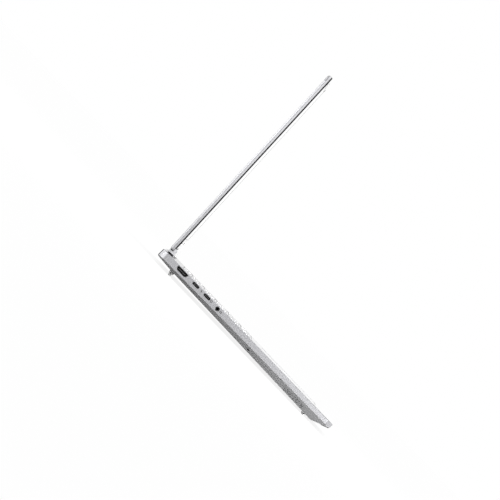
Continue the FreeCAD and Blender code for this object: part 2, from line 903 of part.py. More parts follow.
node("function_keys", keys("function_keys", row=0, first=0, count=14))
node("power_key", keys("power_key", row=0, first=14))
node("number_keys", keys("number_keys", row=1, first=0, count=13))
node("backspace_key", keys("backspace_key", row=1, first=13, units=2))
node("tab_key", keys("tab_key", row=2, first=0, units=1.5))
node("upper_letter_keys", keys("upper_letter_keys", row=2, first=1.5, count=12))
node("backslash_key", keys("backslash_key", row=2, first=13.5, units=1.5))
node("caps_key", keys("caps_key", row=3, first=0, units=1.75))
node("home_letter_keys", keys("home_letter_keys", row=3, first=1.75, count=11))
node("enter_key", keys("enter_key", row=3, first=12.75, units=2.25))
node("left_shift_key", keys("left_shift_key", row=4, first=0, units=2.25))
node("lower_letter_keys", keys("lower_letter_keys", row=4, first=2.25, count=10))
node("right_shift_key", keys("right_shift_key", row=4, first=12.25, units=2.75))
node("modifier_keys", gather("modifier_keys", [
    keys("left_modifiers", row=5, first=0, count=4),
    keys("right_modifiers", row=5, first=9, count=3),
]))
node("space_bar", keys("space_bar", row=5, first=4, units=5))
node("left_arrow_key", keys("left_arrow_key", row=5, first=12, share="front"))
node("up_arrow_key", keys("up_arrow_key", row=5, first=13, share="rear"))
node("down_arrow_key", keys("down_arrow_key", row=5, first=13, share="front"))
node("right_arrow_key", keys("right_arrow_key", row=5, first=14, share="front"))

frame_half = "well_half - frame_clear"
frame_setback = ("well_rear + frame_clear", "well_front - frame_clear")
frame_slab = base_block(
    "frame_slab", evenly(frame_half), frame_setback, ("membrane_top", "deck_height - frame_drop")
)
node("keyboard_frame", cut("keyboard_frame", frame_slab, gather("key_holes", key_holes)))
sheet = base_block("sheet", evenly(frame_half), frame_setback, ("plate_top", "membrane_top"))
node("keyboard_membrane", fuse("keyboard_membrane", [sheet, *domes]))

plate = base_block(
    "plate", evenly("plate_half"),
    ("well_rear - plate_lap", "well_front + plate_lap"), ("plate_low", "plate_top"),
)
standoffs = [
    rod("standoff", "post_radius", "standoff", x, f"rear_y - ({setback})", "board_top")
    for x in ("-plate_half + standoff_inset", "board_right - standoff_inset")
    for setback in ("board_rear + standoff_inset", "board_front - standoff_inset")
]
node("keyboard_plate", fuse("keyboard_plate", [plate, *standoffs]))

# Touchpad: it tips about its rear edge, over a bracket with two tabs
touchpad = new_body("touchpad")
pad_plan = rectangle(evenly("pad_width / 2"), ("rear_y - pad_end", "rear_y - pad_setback"))
pad(touchpad, outline(touchpad, "XY_Plane", pad_plan, offset="pad_top - pad_thick"), "pad_thick")
dress(touchpad, "Fillet", "pad_corner", runs_along("Z"))
node("touchpad", touchpad)
bracket_half = "pad_width / 2 + pad_clear + pad_bracket_lap"
bracket_plate = base_block(
    "bracket_plate", evenly(bracket_half),
    ("pad_setback - pad_clear - pad_bracket_lap", "pad_end + pad_clear + pad_bracket_lap"),
    ("pad_bracket_top - pad_bracket_thick", "pad_bracket_top"),
)
tabs = [
    base_block(
        "tab", (f"{side} * pad_width / 3 - pad_corner", f"{side} * pad_width / 3 + pad_corner"),
        ("pad_setback", "pad_setback + pad_corner"), ("pad_bracket_top", "pad_top - pad_thick - frame_clear"),
    )
    for side in (-1, 1)
]
node("touchpad_bracket", fuse("touchpad_bracket", [bracket_plate, *tabs]))

# Sockets
node("display_socket", seat_left(
    socket("display_socket", *display_size, "display_socket_width - 4 * tongue_gap"),
    "display_socket_setback", "display_socket_z",
))
data_sockets = socket("data_sockets", *data_size, "data_socket_width - 2 * tongue_gap")
line_up(data_sockets, "XZ_Plane", "data_socket_pitch", 2)
node("data_sockets", seat_left(data_sockets, "data_socket_setback", "data_socket_z"))
wide_sockets = socket("wide_sockets", *wide_size, "wide_socket_width - 2 * tongue_gap")
line_up(wide_sockets, "XZ_Plane", "wide_socket_pitch", 2)
node("wide_sockets", seat_right(wide_sockets, "wide_socket_setback + wide_socket_pitch", "wide_socket_z"))

jack = new_body("jack")
pad(jack, disc(jack, "YZ_Plane", "jack_collar"), "jack_length / 2")
jack_square = rectangle(evenly("jack_body / 2"), evenly("jack_body / 2"))
behind_wall = "wall + socket_clear"
pad(jack, outline(jack, "YZ_Plane", jack_square, offset=behind_wall), f"jack_length - ({behind_wall})")
pocket(jack, disc(jack, "YZ_Plane", "jack_radius"), "jack_length - 2 * socket_skin", back=True)
node("audio_jack", seat_left(jack, "jack_setback", "jack_z"))

# Boards and what is on them
node("motherboard", base_block(
    "motherboard", ("-board_left", "board_right"), ("board_rear", "board_front"), ("board_low", "board_top")
))
board_edge = "half_width - wall - side_board_inset"
side_board_top = "wide_socket_z - wide_socket_height / 2"
node("side_board", base_block(
    "side_board",
    (f"{board_edge} - side_board_width", board_edge),
    (
        "wide_socket_setback - wide_socket_width / 2 - side_board_edge",
        "wide_socket_setback + wide_socket_pitch + wide_socket_width / 2 + side_board_edge",
    ),
    (f"{side_board_top} - board_thick", side_board_top),
))


def card(name, x, setback, length, depth):
    """A card that lies flat against the underside of the motherboard."""
    return node(name, base_block(
        name, (x, f"{x} + {length}"), (setback, f"{setback} + {depth}"),
        ("board_low - card_thick", "board_low"),
    ))


card_left = "board_right - 2 * drive_length"
card_front = "board_front - card_depth - post_radius"
card("solid_state_drive", card_left, card_front, "drive_length", "card_depth")
card("wireless_card", f"{card_left} + drive_length + board_gap", card_front, "wireless_length", "card_depth")
card("memory_module", card_left, "board_rear + card_depth / 2", "memory_length", "memory_depth")
node("processor", base_block(
    "processor",
    ("chip_x - chip_length / 2", "chip_x + chip_length / 2"),
    ("chip_setback - chip_depth / 2", "chip_setback + chip_depth / 2"),
    ("chip_low", "board_low"),
))

# Cooling: the pipe carries heat from the processor to the fins behind the fan
fin_left = f"fan_x - {fins / 2} * fin_pitch"
pipe = new_body("pipe")
pipe_left, pipe_right = "chip_x - pipe_width / 2", "chip_x + pipe_width / 2"
pipe_rear, pipe_front = "rear_y - pipe_setback", "rear_y - pipe_setback - pipe_width"
chip_end = "rear_y - chip_setback - chip_depth / 2"
pipe_end = f"{fin_left} + {fins} * fin_pitch"
pad(pipe, outline(pipe, "XY_Plane", [
    (pipe_left, pipe_rear),
    (pipe_left, chip_end),
    (pipe_right, chip_end),
    (pipe_right, pipe_front),
    (pipe_end, pipe_front),
    (pipe_end, pipe_rear),
], offset="chip_low - pipe_thick"), "pipe_thick")
inner_bend = both(lies_at("X", pipe_right), lies_at("Y", pipe_front))
outer_bend = both(lies_at("X", pipe_left), lies_at("Y", pipe_rear))
dress(pipe, "Fillet", "pipe_bend", inner_bend)
dress(pipe, "Fillet", "pipe_bend + pipe_width", outer_bend)
node("heat_pipe", pipe)

heat_sink = new_body("heat_sink")
fin_y = ("rear_y - fin_setback - fin_depth", "rear_y - fin_setback")
sink_plan = rectangle((fin_left, f"{fin_left} + {fins - 1} * fin_pitch + fin_thick"), fin_y)
pad(heat_sink, outline(heat_sink, "XY_Plane", sink_plan, offset="chip_low"), "fin_thick")
fin_plan = rectangle((fin_left, f"{fin_left} + fin_thick"), fin_y)
fin = pad(heat_sink, outline(heat_sink, "XY_Plane", fin_plan, offset="chip_low + fin_thick"), "fin_height")
fin_row = heat_sink.newObject("PartDesign::LinearPattern", "fin_row")
fin_row.Originals = [fin]
fin_row.Direction = (origin_plane(heat_sink, "YZ_Plane"), [""])
fin_row.Mode = "Spacing"
fin_row.Occurrences = fins
bind(fin_row, Offset="fin_pitch")
heat_sink.Tip = fin_row
node("heat_sink", heat_sink)

fan_case = base_block(
    "fan_case", ("fan_x - fan_width / 2", "fan_x + fan_width / 2"),
    ("fan_setback", "fan_setback + fan_depth"), ("fan_low", "plate_low"),
)
fan_room = rod(
    "fan_room", "rotor_radius + rotor_gap", "fan_thick - 2 * fan_skin", "fan_x", "fan_y", "fan_low + fan_skin"
)
fan_mouth = block(
    "fan_mouth", ("fan_x - rotor_radius", "fan_x + rotor_radius"), ("fan_y", "rear_y"),
    ("fan_low + fan_skin", "plate_low - fan_skin"),
)
fan_eye = rod("fan_eye", "intake_radius", "2 * fan_skin", "fan_x", "fan_y", "fan_low - fan_skin")
fan_shell = cut("fan_shell", fan_case, fuse("fan_space", [fan_room, fan_mouth, fan_eye]))
spindle_low = "fan_low + fan_skin + 2 * rotor_play"
spindle = rod(
    "spindle", "spindle_radius", f"plate_low - fan_skin / 2 - ({spindle_low})", "fan_x", "fan_y", spindle_low
)
node("fan_housing", fuse("fan_housing", [fan_shell, spindle]))

rotor = new_body("rotor")
rotor_height = "fan_thick - 2 * fan_skin - 2 * rotor_play"
pad(rotor, disc(rotor, "XY_Plane", "hub_radius"), rotor_height)
blade_plan = rectangle(("hub_radius - blade_thick", "rotor_radius"), ("-blade_thick / 2", "blade_thick / 2"))
blade = pad(rotor, outline(rotor, "XY_Plane", blade_plan), rotor_height)
ring = rotor.newObject("PartDesign::PolarPattern", "ring")
ring.Originals = [blade]
ring.Axis = (origin_plane(rotor, "Z_Axis"), [""])
ring.Angle = 360
ring.Occurrences = blades
rotor.Tip = ring
cut_through(rotor, disc(rotor, "XY_Plane", "spindle_radius + spindle_clear"))
node("fan_rotor", move(rotor, "fan_x", "fan_y", "fan_low + fan_skin + rotor_play"))

# Battery and speakers
battery = new_body("battery")
battery_plan = rectangle(evenly("battery_half"), ("rear_y - battery_end", "rear_y - battery_setback"))
pad(battery, outline(battery, "XY_Plane", battery_plan, offset="plate_low - battery_thick"), "battery_thick")
dress(battery, "Fillet", "battery_round", runs_along("Z"))
node("battery_pack", battery)
speaker_out = "half_width - speaker_inset"
speaker_in = f"{speaker_out} - speaker_length"
node("speakers", gather("speakers", [
    base_block(
        "speaker", ends, ("speaker_setback", "speaker_setback + speaker_depth"),
        ("speaker_low", "speaker_low + speaker_height"),
    )
    for ends in ((speaker_in, speaker_out), (f"-({speaker_out})", f"-({speaker_in})"))
]))

# Hinges, with the lid's pieces drawn upright about the axis


def hinge_span(side, near, far):
    """A stretch of X at one hinge, from its middle towards the laptop's middle."""
    if side < 0:
        return f"-hinge_x + ({near})", f"-hinge_x + ({far})"
    return f"hinge_x - ({far})", f"hinge_x - ({near})"


def length_of(span):
    return f"({span[1]}) - ({span[0]})"


ear_face = "ear_thick / 2"
eye_near = "ear_thick / 2 + washer_thick"
eye_far = f"{eye_near} + eye_thick"
pin_far = f"{eye_near} + pin_head"
brackets, arms, pins, washers, notches = [], [], [], [], []
for side in (-1, 1):
    ear_x = hinge_span(side, f"-({ear_face})", ear_face)
    ear_y = ("axis_y - ear_radius", "axis_y + ear_radius")
    middle = f"{side} * hinge_x"
    bracket = fuse("bracket", [
        base_block(
            "bracket_foot", (f"{middle} - bracket_length / 2", f"{middle} + bracket_length / 2"),
            ("trough_rear + hinge_gap", "trough_front - hinge_gap"), ("trough_z", "trough_z + bracket_thick"),
        ),
        block("ear", ear_x, ear_y, ("trough_z", "axis_z")),
        rod("ear_top", "ear_radius", length_of(ear_x), ear_x[0], "axis_y", "axis_z", along="X"),
    ])
    bore_radius = "pin_radius + pin_clear"
    bore = rod("ear_bore", bore_radius, length_of(ear_x), ear_x[0], "axis_y", "axis_z", along="X")
    brackets.append(cut("bored_bracket", bracket, bore))

    eye_x = hinge_span(side, eye_near, eye_far)
    arm_x = hinge_span(side, eye_near, f"{eye_near} + arm_length")
    arm_low = "cover_top + hinge_gap"
    arm_z = (arm_low, f"{arm_low} + arm_height")
    arm = fuse("arm", [
        rod("eye", "eye_radius", length_of(eye_x), eye_x[0], "0", "0", along="X"),
        block("neck", eye_x, ("-eye_radius / 2", "lid_floor"), ("0", f"{arm_low} + arm_height")),
        block("arm_plate", arm_x, ("lid_floor - arm_thick", "lid_floor"), arm_z),
    ])
    eye_bore = rod("eye_bore", bore_radius, length_of(eye_x), eye_x[0], "0", "0", along="X")
    arms.append(cut("bored_arm", arm, eye_bore))

    pin_x = hinge_span(side, f"-({pin_far})", eye_far)
    head_x = hinge_span(side, f"-({pin_far})", f"-({eye_near})")
    pins.append(fuse("pin", [
        rod("pin_shank", "pin_radius", length_of(pin_x), pin_x[0], "0", "0", along="X"),
        rod("pin_head", "eye_radius", length_of(head_x), head_x[0], "0", "0", along="X"),
    ]))
    for near, far in ((f"-({eye_near})", f"-({ear_face})"), (ear_face, eye_near)):
        disc_x = hinge_span(side, near, far)
        washers.append(cut(
            "washer",
            rod("washer_disc", "washer_radius", length_of(disc_x), disc_x[0], "0", "0", along="X"),
            rod("washer_bore", bore_radius, length_of(disc_x), disc_x[0], "0", "0", along="X"),
        ))
    deep = ("-cover_front - spare", "cover_back + spare")
    ear_gap = hinge_span(side, "-notch_outer", "notch_inner")
    notches.append(block("notch", ear_gap, deep, ("-spare", "notch_top")))
    neck_gap = hinge_span(side, f"{eye_near} - hinge_gap", "notch_inner")
    behind = ("-eye_radius / 2 - hinge_gap", "cover_back + spare")
    notches.append(block("neck_notch", neck_gap, behind, ("0", "cover_top + spare")))

node("hinge_brackets", gather("hinge_brackets", brackets))
node("hinge_arms", lean(gather("hinge_arms", arms)))
node("hinge_pins", lean(gather("hinge_pins", pins)))
node("hinge_washers", lean(gather("hinge_washers", washers)))

# The display cable leaves the lid along the hinge axis, so that opening the lid only twists it
notches.append(block(
    "cable_notch", ("cable_x", f"{cable_down} + {cable_room}"),
    ("-cover_front - spare", "cover_back + spare"), ("-spare", cable_room),
))
notches.append(block(
    "cable_slot", (f"{cable_up} - ({cable_room})", "cable_x"), (f"-({cable_room})", cable_room),
    ("strip_top", "cover_top + spare"),
))


def tube(name, corners, radius, bend):
    """A round cable along straight runs joined by arcs."""
    points = [Vector(*(measure(text) for text in corner)) for corner in corners]
    turn = measure(bend)
    edges = []
    start = points[0]
    for before, corner, after in zip(points, points[1:], points[2:]):
        arrive = (corner - before).normalize()
        leave = (after - corner).normalize()
        touch, away = corner - arrive * turn, corner + leave * turn
        centre = corner - arrive * turn + leave * turn
        halfway = centre + (corner - centre).normalize() * turn
        edges.append(Part.LineSegment(start, touch).toShape())
        edges.append(Part.Arc(touch, halfway, away).toShape())
        start = away
    edges.append(Part.LineSegment(start, points[-1]).toShape())
    path = Part.Wire(edges)
    section = Part.Wire([Part.Circle(points[0], points[1] - points[0], measure(radius)).toShape()])
    cable = doc.addObject("Part::Feature", name)
    cable.Shape = path.makePipeShell([section], True, False)
    return cable


node("display_cable", lean(tube("display_cable", [
    ("cable_x", "0", "0"),
    (cable_up, "0", "0"),
    (cable_up, "0", "screen_low - panel_chin"),
], "cable_radius", "cable_bend")))
tail_z = "board_top - board_thick / 2"
node("display_cable_tail", tube("display_cable_tail", [
    ("cable_x", "axis_y", "axis_z"),
    (cable_down, "axis_y", "axis_z"),
    (cable_down, "axis_y", tail_z),
    (cable_down, "rear_y - board_rear", tail_z),
], "cable_radius", "cable_bend"))

cover_bar = new_body("cover_bar")
cover_section = rectangle(("-cover_front", "cover_back"), ("-cover_low", "cover_top"))
pad(cover_bar, outline(cover_bar, "YZ_Plane", cover_section), "2 * cover_half", side="Symmetric")
dress(cover_bar, "Fillet", "cover_round", both(lies_at("Z", "cover_top"), lies_at("Y", "-cover_front")))
strip_y = ("skirt - cover_front", "cover_back - skirt")
strip_room = rectangle(strip_y, ("-cover_low - spare", "strip_top"))
cut_through(cover_bar, outline(cover_bar, "YZ_Plane", strip_room))
strip_bar = block("strip_bar", evenly("cover_half"), strip_y, ("-strip_low", "strip_top"))
notch_set = gather("notch_set", notches)
node("hinge_cover", lean(cut("hinge_cover", cover_bar, notch_set)))
node("hinge_strip", lean(cut("hinge_strip", strip_bar, notch_set)))

# Lid cover: a shallow tray with two legs, one at each end of the hinge cover
lid = new_body("lid")
pad(lid, outline(lid, "XZ_Plane", [
    ("-half_width", "leg_end"),
    ("-leg_inner", "leg_end"),
    ("-leg_inner", "cover_top"),
    ("leg_inner", "cover_top"),
    ("leg_inner", "leg_end"),
    ("half_width", "leg_end"),
    ("half_width", "lid_reach"),
    ("-half_width", "lid_reach"),
], offset="-(lid_rear)"), "lid_rear - lid_rim")
dress(lid, "Fillet", "corner_round", both(runs_along("Y"), lies_at("Z", "lid_reach")))


def outer_leg(edge):
    at_wall = abs(abs(edge.BoundBox.XMin) - measure("half_width")) < tolerance
    return at_wall and runs_along("Y")(edge) and lies_at("Z", "leg_end")(edge)


def back_rim(edge):
    above_cover = edge.BoundBox.ZMax > measure("cover_top + leg_round")
    return above_cover and lies_at("Y", "lid_rear")(edge)


dress(lid, "Fillet", "leg_round", outer_leg)
dress(lid, "Fillet", "lid_round", back_rim)
tray = new_body("tray")
tray_half = "half_width - lid_wall"
tray_gap = "leg_inner - 2 * lid_wall"
tray_low = "cover_top + lid_wall"
tray_top = "lid_reach - lid_wall"
pad(tray, outline(tray, "XZ_Plane", [
    (f"-({tray_half})", tray_low),
    (f"-({tray_gap})", tray_low),
    (f"-({tray_gap})", "0"),
    (tray_gap, "0"),
    (tray_gap, tray_low),
    (tray_half, tray_low),
    (tray_half, tray_top),
    (f"-({tray_half})", tray_top),
], offset="-(lid_floor)"), "lid_floor - lid_rim + spare")
dress(tray, "Fillet", "corner_round - lid_wall", both(runs_along("Y"), lies_at("Z", tray_top)))
node("lid_cover", lean(cut("lid_cover", lid, tray)))

# Bezel, with a window for the screen, an eye for the camera and a bed for its shutter
bezel = new_body("bezel")
bezel_half = "half_width - bezel_inset"
bezel_top = "lid_reach - bezel_inset"
bezel_plan = rectangle(evenly(bezel_half), ("bezel_low", bezel_top))
pad(bezel, outline(bezel, "XZ_Plane", bezel_plan, offset="-(lid_rim)"), "bezel_thick")
dress(bezel, "Fillet", "corner_round - bezel_inset", both(runs_along("Y"), lies_at("Z", bezel_top)))
dress(bezel, "Fillet", "bezel_round", lies_at("Y", "lid_inner"))
window_half = "screen_half + screen_margin"
window = rectangle(evenly(window_half), ("screen_low - screen_margin", "screen_top + screen_margin"))
cut_through(bezel, outline(bezel, "XZ_Plane", window))
cut_through(bezel, disc(bezel, "XZ_Plane", "lens_radius + lens_clear", y="camera_u"))
bed_reach = "shutter_length / 2 + shutter_clear"
bed_rise = "shutter_height / 2 + shutter_clear"
bed = rectangle(
    (f"-({bed_reach})", f"shutter_travel + {bed_reach}"),
    (f"camera_u - ({bed_rise})", f"camera_u + {bed_rise}"),
)
pocket(bezel, outline(bezel, "XZ_Plane", bed, offset="-(lid_inner)"), "shutter_bed - lid_inner")
node("display_bezel", lean(bezel))

panel_half = "screen_half + panel_border"
panel = new_body("panel")
panel_plan = rectangle(evenly(panel_half), ("screen_low - panel_chin", "screen_top + panel_border"))
pad(panel, outline(panel, "XZ_Plane", panel_plan, offset="-(lid_rim)"), "panel_thick", back=True)
face_plan = rectangle(evenly("screen_half"), ("screen_low", "screen_top"))
pad(panel, outline(panel, "XZ_Plane", face_plan, offset="-(lid_rim)"), "bezel_thick - screen_sink")
node("display_panel", lean(panel))

camera = new_body("camera")
camera_plan = rectangle(
    evenly("camera_length / 2"),
    ("camera_u - camera_height / 2", "camera_u + camera_height / 2 - lens_clear"),
)
pad(camera, outline(camera, "XZ_Plane", camera_plan, offset="-(lid_rim)"), "camera_thick", back=True)
node("camera_module", lean(camera))
lens = new_body("lens")
pad(lens, disc(lens, "XZ_Plane", "lens_radius", y="camera_u", offset="-(lid_rim)"), "lens_thick")
node("camera_lens", lean(lens))
shutter = new_body("shutter")
shutter_plan = rectangle(
    ("shutter_travel - shutter_length / 2", "shutter_travel + shutter_length / 2"),
    ("camera_u - shutter_height / 2", "camera_u + shutter_height / 2"),
)
pad(shutter, outline(shutter, "XZ_Plane", shutter_plan, offset="-(shutter_bed)"), "shutter_thick")
dress(shutter, "Fillet", "shutter_clear", lies_at("Y", "shutter_bed - shutter_thick"))
node("camera_shutter", lean(shutter))

bumpers = new_body("bumpers")
bumper_row = []
for u in ("screen_low - panel_chin", "screen_top + panel_border"):
    for side in (-1, 1):
        middle = f"{side} * (screen_half - bumper_length)"
        bumper_row.append(rectangle(
            (f"{middle} - bumper_length / 2", f"{middle} + bumper_length / 2"),
            (f"{u} - bumper_width / 2", f"{u} + bumper_width / 2"),
        ))
pad(bumpers, outline(bumpers, "XZ_Plane", *bumper_row, offset="-(lid_inner)"), "bumper_thick")
node("lid_bumpers", lean(bumpers))

doc.recompute()
for thing in doc.Objects:
    if "Invalid" in thing.State or "Error" in thing.State:
        raise RuntimeError(f"{thing.Label} failed: {thing.State}")
for thing in nodes:
    if thing.Shape.isNull() or not thing.Shape.isValid():
        raise RuntimeError(f"{thing.Label} has no valid shape")

os.makedirs("parts", exist_ok=True)
for thing in nodes:
    thing.Shape.exportStep(f"parts/{thing.Label}.step")
print(len(nodes), "sub-parts written")
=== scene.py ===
import json
import math

import bmesh
import bpy
from mathutils import Matrix, Vector


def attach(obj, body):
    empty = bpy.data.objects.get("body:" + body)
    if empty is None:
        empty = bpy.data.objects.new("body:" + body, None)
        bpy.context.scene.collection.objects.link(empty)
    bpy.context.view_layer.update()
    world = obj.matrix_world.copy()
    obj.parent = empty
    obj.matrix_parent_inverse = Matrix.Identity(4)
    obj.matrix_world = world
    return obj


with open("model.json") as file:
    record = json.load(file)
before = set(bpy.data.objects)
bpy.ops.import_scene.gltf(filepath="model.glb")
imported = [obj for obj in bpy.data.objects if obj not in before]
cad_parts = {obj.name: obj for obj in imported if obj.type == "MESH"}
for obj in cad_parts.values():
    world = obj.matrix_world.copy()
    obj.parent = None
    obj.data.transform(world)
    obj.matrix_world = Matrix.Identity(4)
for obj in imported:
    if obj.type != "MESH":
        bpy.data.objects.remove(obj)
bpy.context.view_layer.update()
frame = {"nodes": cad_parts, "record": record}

nodes = frame["nodes"]
scene = bpy.context.scene
mm = 0.001
for name in ("Cube", "Light", "Camera"):  # what a new file starts with
    if name in bpy.data.objects:
        bpy.data.objects.remove(bpy.data.objects[name])
print("frame loaded:", len(nodes), "nodes")


class Sock:  # one shader socket, so that sums read as sums
    def __init__(self, tree, out):
        self.tree = tree
        self.out = out

    def node(self, kind, settings=None, sockets=None, out=0):  # settings first, then sockets
        made = self.tree.nodes.new(kind)
        for key, value in (settings or {}).items():
            if key == "stops":
                elements = made.color_ramp.elements
                while len(elements) < len(value):
                    elements.new(0.5)
                for element, (place, tone) in zip(elements, value):
                    element.position = place
                    element.color = (tone, tone, tone, 1)
            else:
                setattr(made, key, value)
        for key, value in (sockets or {}).items():
            if isinstance(value, Sock):
                self.tree.links.new(value.out, made.inputs[key])
            else:
                made.inputs[key].default_value = value
        return Sock(self.tree, made.outputs[out])

    def maths(self, operation, first, second=0.0):
        return self.node("ShaderNodeMath", {"operation": operation}, {0: first, 1: second})

    def __add__(self, other):
        return self.maths("ADD", self, other)

    def __sub__(self, other):
        return self.maths("SUBTRACT", self, other)

    def __rsub__(self, other):
        return self.maths("SUBTRACT", other, self)

    def __mul__(self, other):
        return self.maths("MULTIPLY", self, other)

    def __gt__(self, other):
        return self.maths("GREATER_THAN", self, other)

    def __lt__(self, other):
        return self.maths("LESS_THAN", self, other)

    __radd__ = __add__
    __rmul__ = __mul__

    def mix(self, first, second):  # two colours, by this mask
        return self.node("ShaderNodeMix", {"data_type": "RGBA"}, {0: self, 6: first, 7: second}, out=2)

    def ramp(self, *stops):
        return self.node("ShaderNodeValToRGB", {"stops": stops}, {"Fac": self})

    def stretch(self, x, y, z):
        return self.node("ShaderNodeMapping", {"vector_type": "POINT"}, {"Vector": self, "Scale": (x, y, z)})

    def noise(self, size, detail=2.0, rough=0.5):  # size in mm
        sockets = {"Vector": self, "Scale": 1 / (size * mm), "Detail": detail, "Roughness": rough}
        return self.node("ShaderNodeTexNoise", {}, sockets)

    def cells(self, size, feature="F1"):  # size in mm
        return self.node("ShaderNodeTexVoronoi", {"feature": feature}, {"Vector": self, "Scale": 1 / (size * mm)})

    def axis(self, letter):
        return self.node("ShaderNodeSeparateXYZ", {}, {0: self}, "XYZ".index(letter))

    def bump(self, depth):  # depth in mm
        return self.node("ShaderNodeBump", {}, {"Height": self, "Distance": depth * mm, "Strength": 1.0})


def grey(tone, cool=0.0):
    return (tone, tone, tone * (1 + cool), 1)


def within(place, letter, low, high):  # 1 between two places along an axis, in mm
    along = place.axis(letter)
    return (along > low * mm) * (along < high * mm)


def facing(place, letter):  # how far a face is turned along one axis
    return place.node("ShaderNodeNewGeometry", {}, {}, "Normal").axis(letter)


def sideways(place):  # 1 on faces that look to the left or right, 0 on the others
    across = facing(place, "X")
    return across * across


def lengthwise(place, limit=0.02):  # faces that don't look to the left or right
    return sideways(place) < limit


def paintEndLight(place, look, limit, tone, cool=0.0):  # ends looking left and right painted in a tone of their own, as painted light
    look["Base Color"] = (sideways(place) > limit).mix(look["Base Color"], grey(tone, cool))
    return look


def newPaint(name, links, **fixed):  # links are made from the surface's own coordinates
    paint = bpy.data.materials.new(name)
    paint.use_nodes = True
    tree = paint.node_tree
    shader = tree.nodes["Principled BSDF"]
    for key, value in fixed.items():
        shader.inputs[key.replace("_", " ")].default_value = value
    place = Sock(tree, tree.nodes.new("ShaderNodeTexCoord").outputs["Object"])
    for key, sock in links(place).items():
        tree.links.new(sock.out, shader.inputs[key])
    return paint


cloud = {"size": 45, "detail": 3, "share": 0.65, "low": 0.3, "high": 0.7, "blotch": 0.06}  # size in mm


def blasted(place, dark, light, smooth, rough, grain, depth, cool=0.0):  # fine even grain with faint clouds
    clouds = place.noise(cloud["size"], cloud["detail"])
    speck = place.noise(grain)
    tone = clouds * cloud["share"] + speck * (1 - cloud["share"])
    return {
        "Base Color": tone.ramp((cloud["low"], 0), (cloud["high"], 1)).mix(grey(dark, cool), grey(light, cool)),
        "Roughness": speck * (rough - smooth) + smooth + clouds * cloud["blotch"] - cloud["blotch"] / 2,
        "Normal": speck.bump(depth),
    }


def plain(**finish):  # a blasted or moulded finish with nothing added
    return lambda place: blasted(place, **finish)


def mottled(field, dark, light, smooth, rough, depth):  # colour, roughness and bump from one pattern
    return {
        "Base Color": field.mix(dark, light),
        "Roughness": field * (rough - smooth) + smooth,
        "Normal": field.bump(depth),
    }


def spotted(size, detail, coarse=0.5, **finish):  # a pattern of noise, its size in mm
    return lambda place: mottled(place.noise(size, detail, coarse), **finish)


scratch = {"size": 0.18, "detail": 4, "squeeze": 0.03, "depth": 0.01}  # sizes in mm


def brushed(dark, light, smooth, rough, along):  # long scratches along one axis
    scale = [1, 1, 1]
    scale["XYZ".index(along)] = scratch["squeeze"]

    def look(place):
        lines = place.stretch(*scale).noise(scratch["size"], scratch["detail"])
        return mottled(lines, grey(dark), grey(light), smooth, rough, scratch["depth"])

    return look


# case metal: the trough painted pale as painted light against its shade, a dark line beside the bezel, and a coat
# that grows to the front
caseFinish = {
    "dark": 0.34, "light": 0.365, "smooth": 0.3, "rough": 0.33, "grain": 0.16, "depth": 0.001, "cool": 0.035,
}
trough = {"rear": 116.8, "front": 104.8, "low": 11.8, "high": 15.75, "half": 165.2, "tone": 0.85}  # in mm
lidPlace = {"lean": 3.7, "y": 112.7165, "z": 19.1}  # the lid's axis, in mm, and its lean in degrees
bezelDarkBand = {"back": -1.0, "low": 17, "tone": 0.03}
caseCoat = {"middle": 0.74, "fall": 2}  # weight at the middle, and its fall to the rear for each metre


def caseLook(place):
    look = blasted(place, **caseFinish)
    # painted light: the trough's inside is painted pale and not metallic, to lift the shade in it
    troughPaintedLight = within(place, "Y", trough["front"], trough["rear"])
    troughPaintedLight = troughPaintedLight * within(place, "Z", trough["low"], trough["high"])
    troughPaintedLight = troughPaintedLight * within(place, "X", -trough["half"], trough["half"])
    look["Base Color"] = troughPaintedLight.mix(look["Base Color"], grey(trough["tone"]))
    lean = math.radians(lidPlace["lean"])
    behind = (place.axis("Y") - lidPlace["y"] * mm) * math.cos(lean)
    behind = behind - (place.axis("Z") - lidPlace["z"] * mm) * math.sin(lean)
    bezelDarkMask = (behind < bezelDarkBand["back"] * mm) * (place.axis("Z") > bezelDarkBand["low"] * mm)
    look["Base Color"] = bezelDarkMask.mix(look["Base Color"], grey(bezelDarkBand["tone"]))
    look["Metallic"] = 1 - troughPaintedLight
    look["Coat Weight"] = lengthwise(place) * (caseCoat["middle"] - place.axis("Y") * caseCoat["fall"])
    return look


hingeFinish = {
    "dark": 0.45, "light": 0.49, "smooth": 0.2, "rough": 0.27, "grain": 0.16, "depth": 0.001, "cool": 0.035,
}
hingeEndLight = {"limit": 0.8, "tone": 0.53, "cool": 0.035}


def hingeLook(place):  # painted highlight: the cover's ends looking left and right are painted brighter
    return paintEndLight(place, blasted(place, **hingeFinish), **hingeEndLight)


keyFinish = {
    "dark": 0.46, "light": 0.51, "smooth": 0.44, "rough": 0.56, "grain": 0.12, "depth": 0.006, "cool": 0.03,
}
keyWear = {"size": 9, "detail": 1, "low": 0.35, "high": 0.75, "smoother": 0.09}  # smoothed by fingers


def keyLook(place):
    look = blasted(place, **keyFinish)
    worn = place.noise(keyWear["size"], keyWear["detail"]).ramp((keyWear["low"], 0), (keyWear["high"], 1))
    look["Roughness"] = look["Roughness"] - worn * keyWear["smoother"]
    return look


blackFinish = {
    "dark": 0.006, "light": 0.01, "smooth": 0.3, "rough": 0.4, "grain": 0.22, "depth": 0.003, "cool": 0.1,
}
stripEndLight = {"inside": 150, "turned": -0.9, "tone": 0.5}  # the outer ends lie beyond this, in mm


def blackLook(place):
    look = blasted(place, **blackFinish)
    look["Coat Weight"] = lengthwise(place)
    return look


def stripLook(place):  # painted light: the strip's far end faces, which look to the left, are painted pale against their shade
    look = blackLook(place)
    stripEndPaintedLight = (facing(place, "X") < stripEndLight["turned"]) * (place.axis("X") > -stripEndLight["inside"] * mm)
    look["Base Color"] = stripEndPaintedLight.mix(look["Base Color"], grey(stripEndLight["tone"]))
    return look


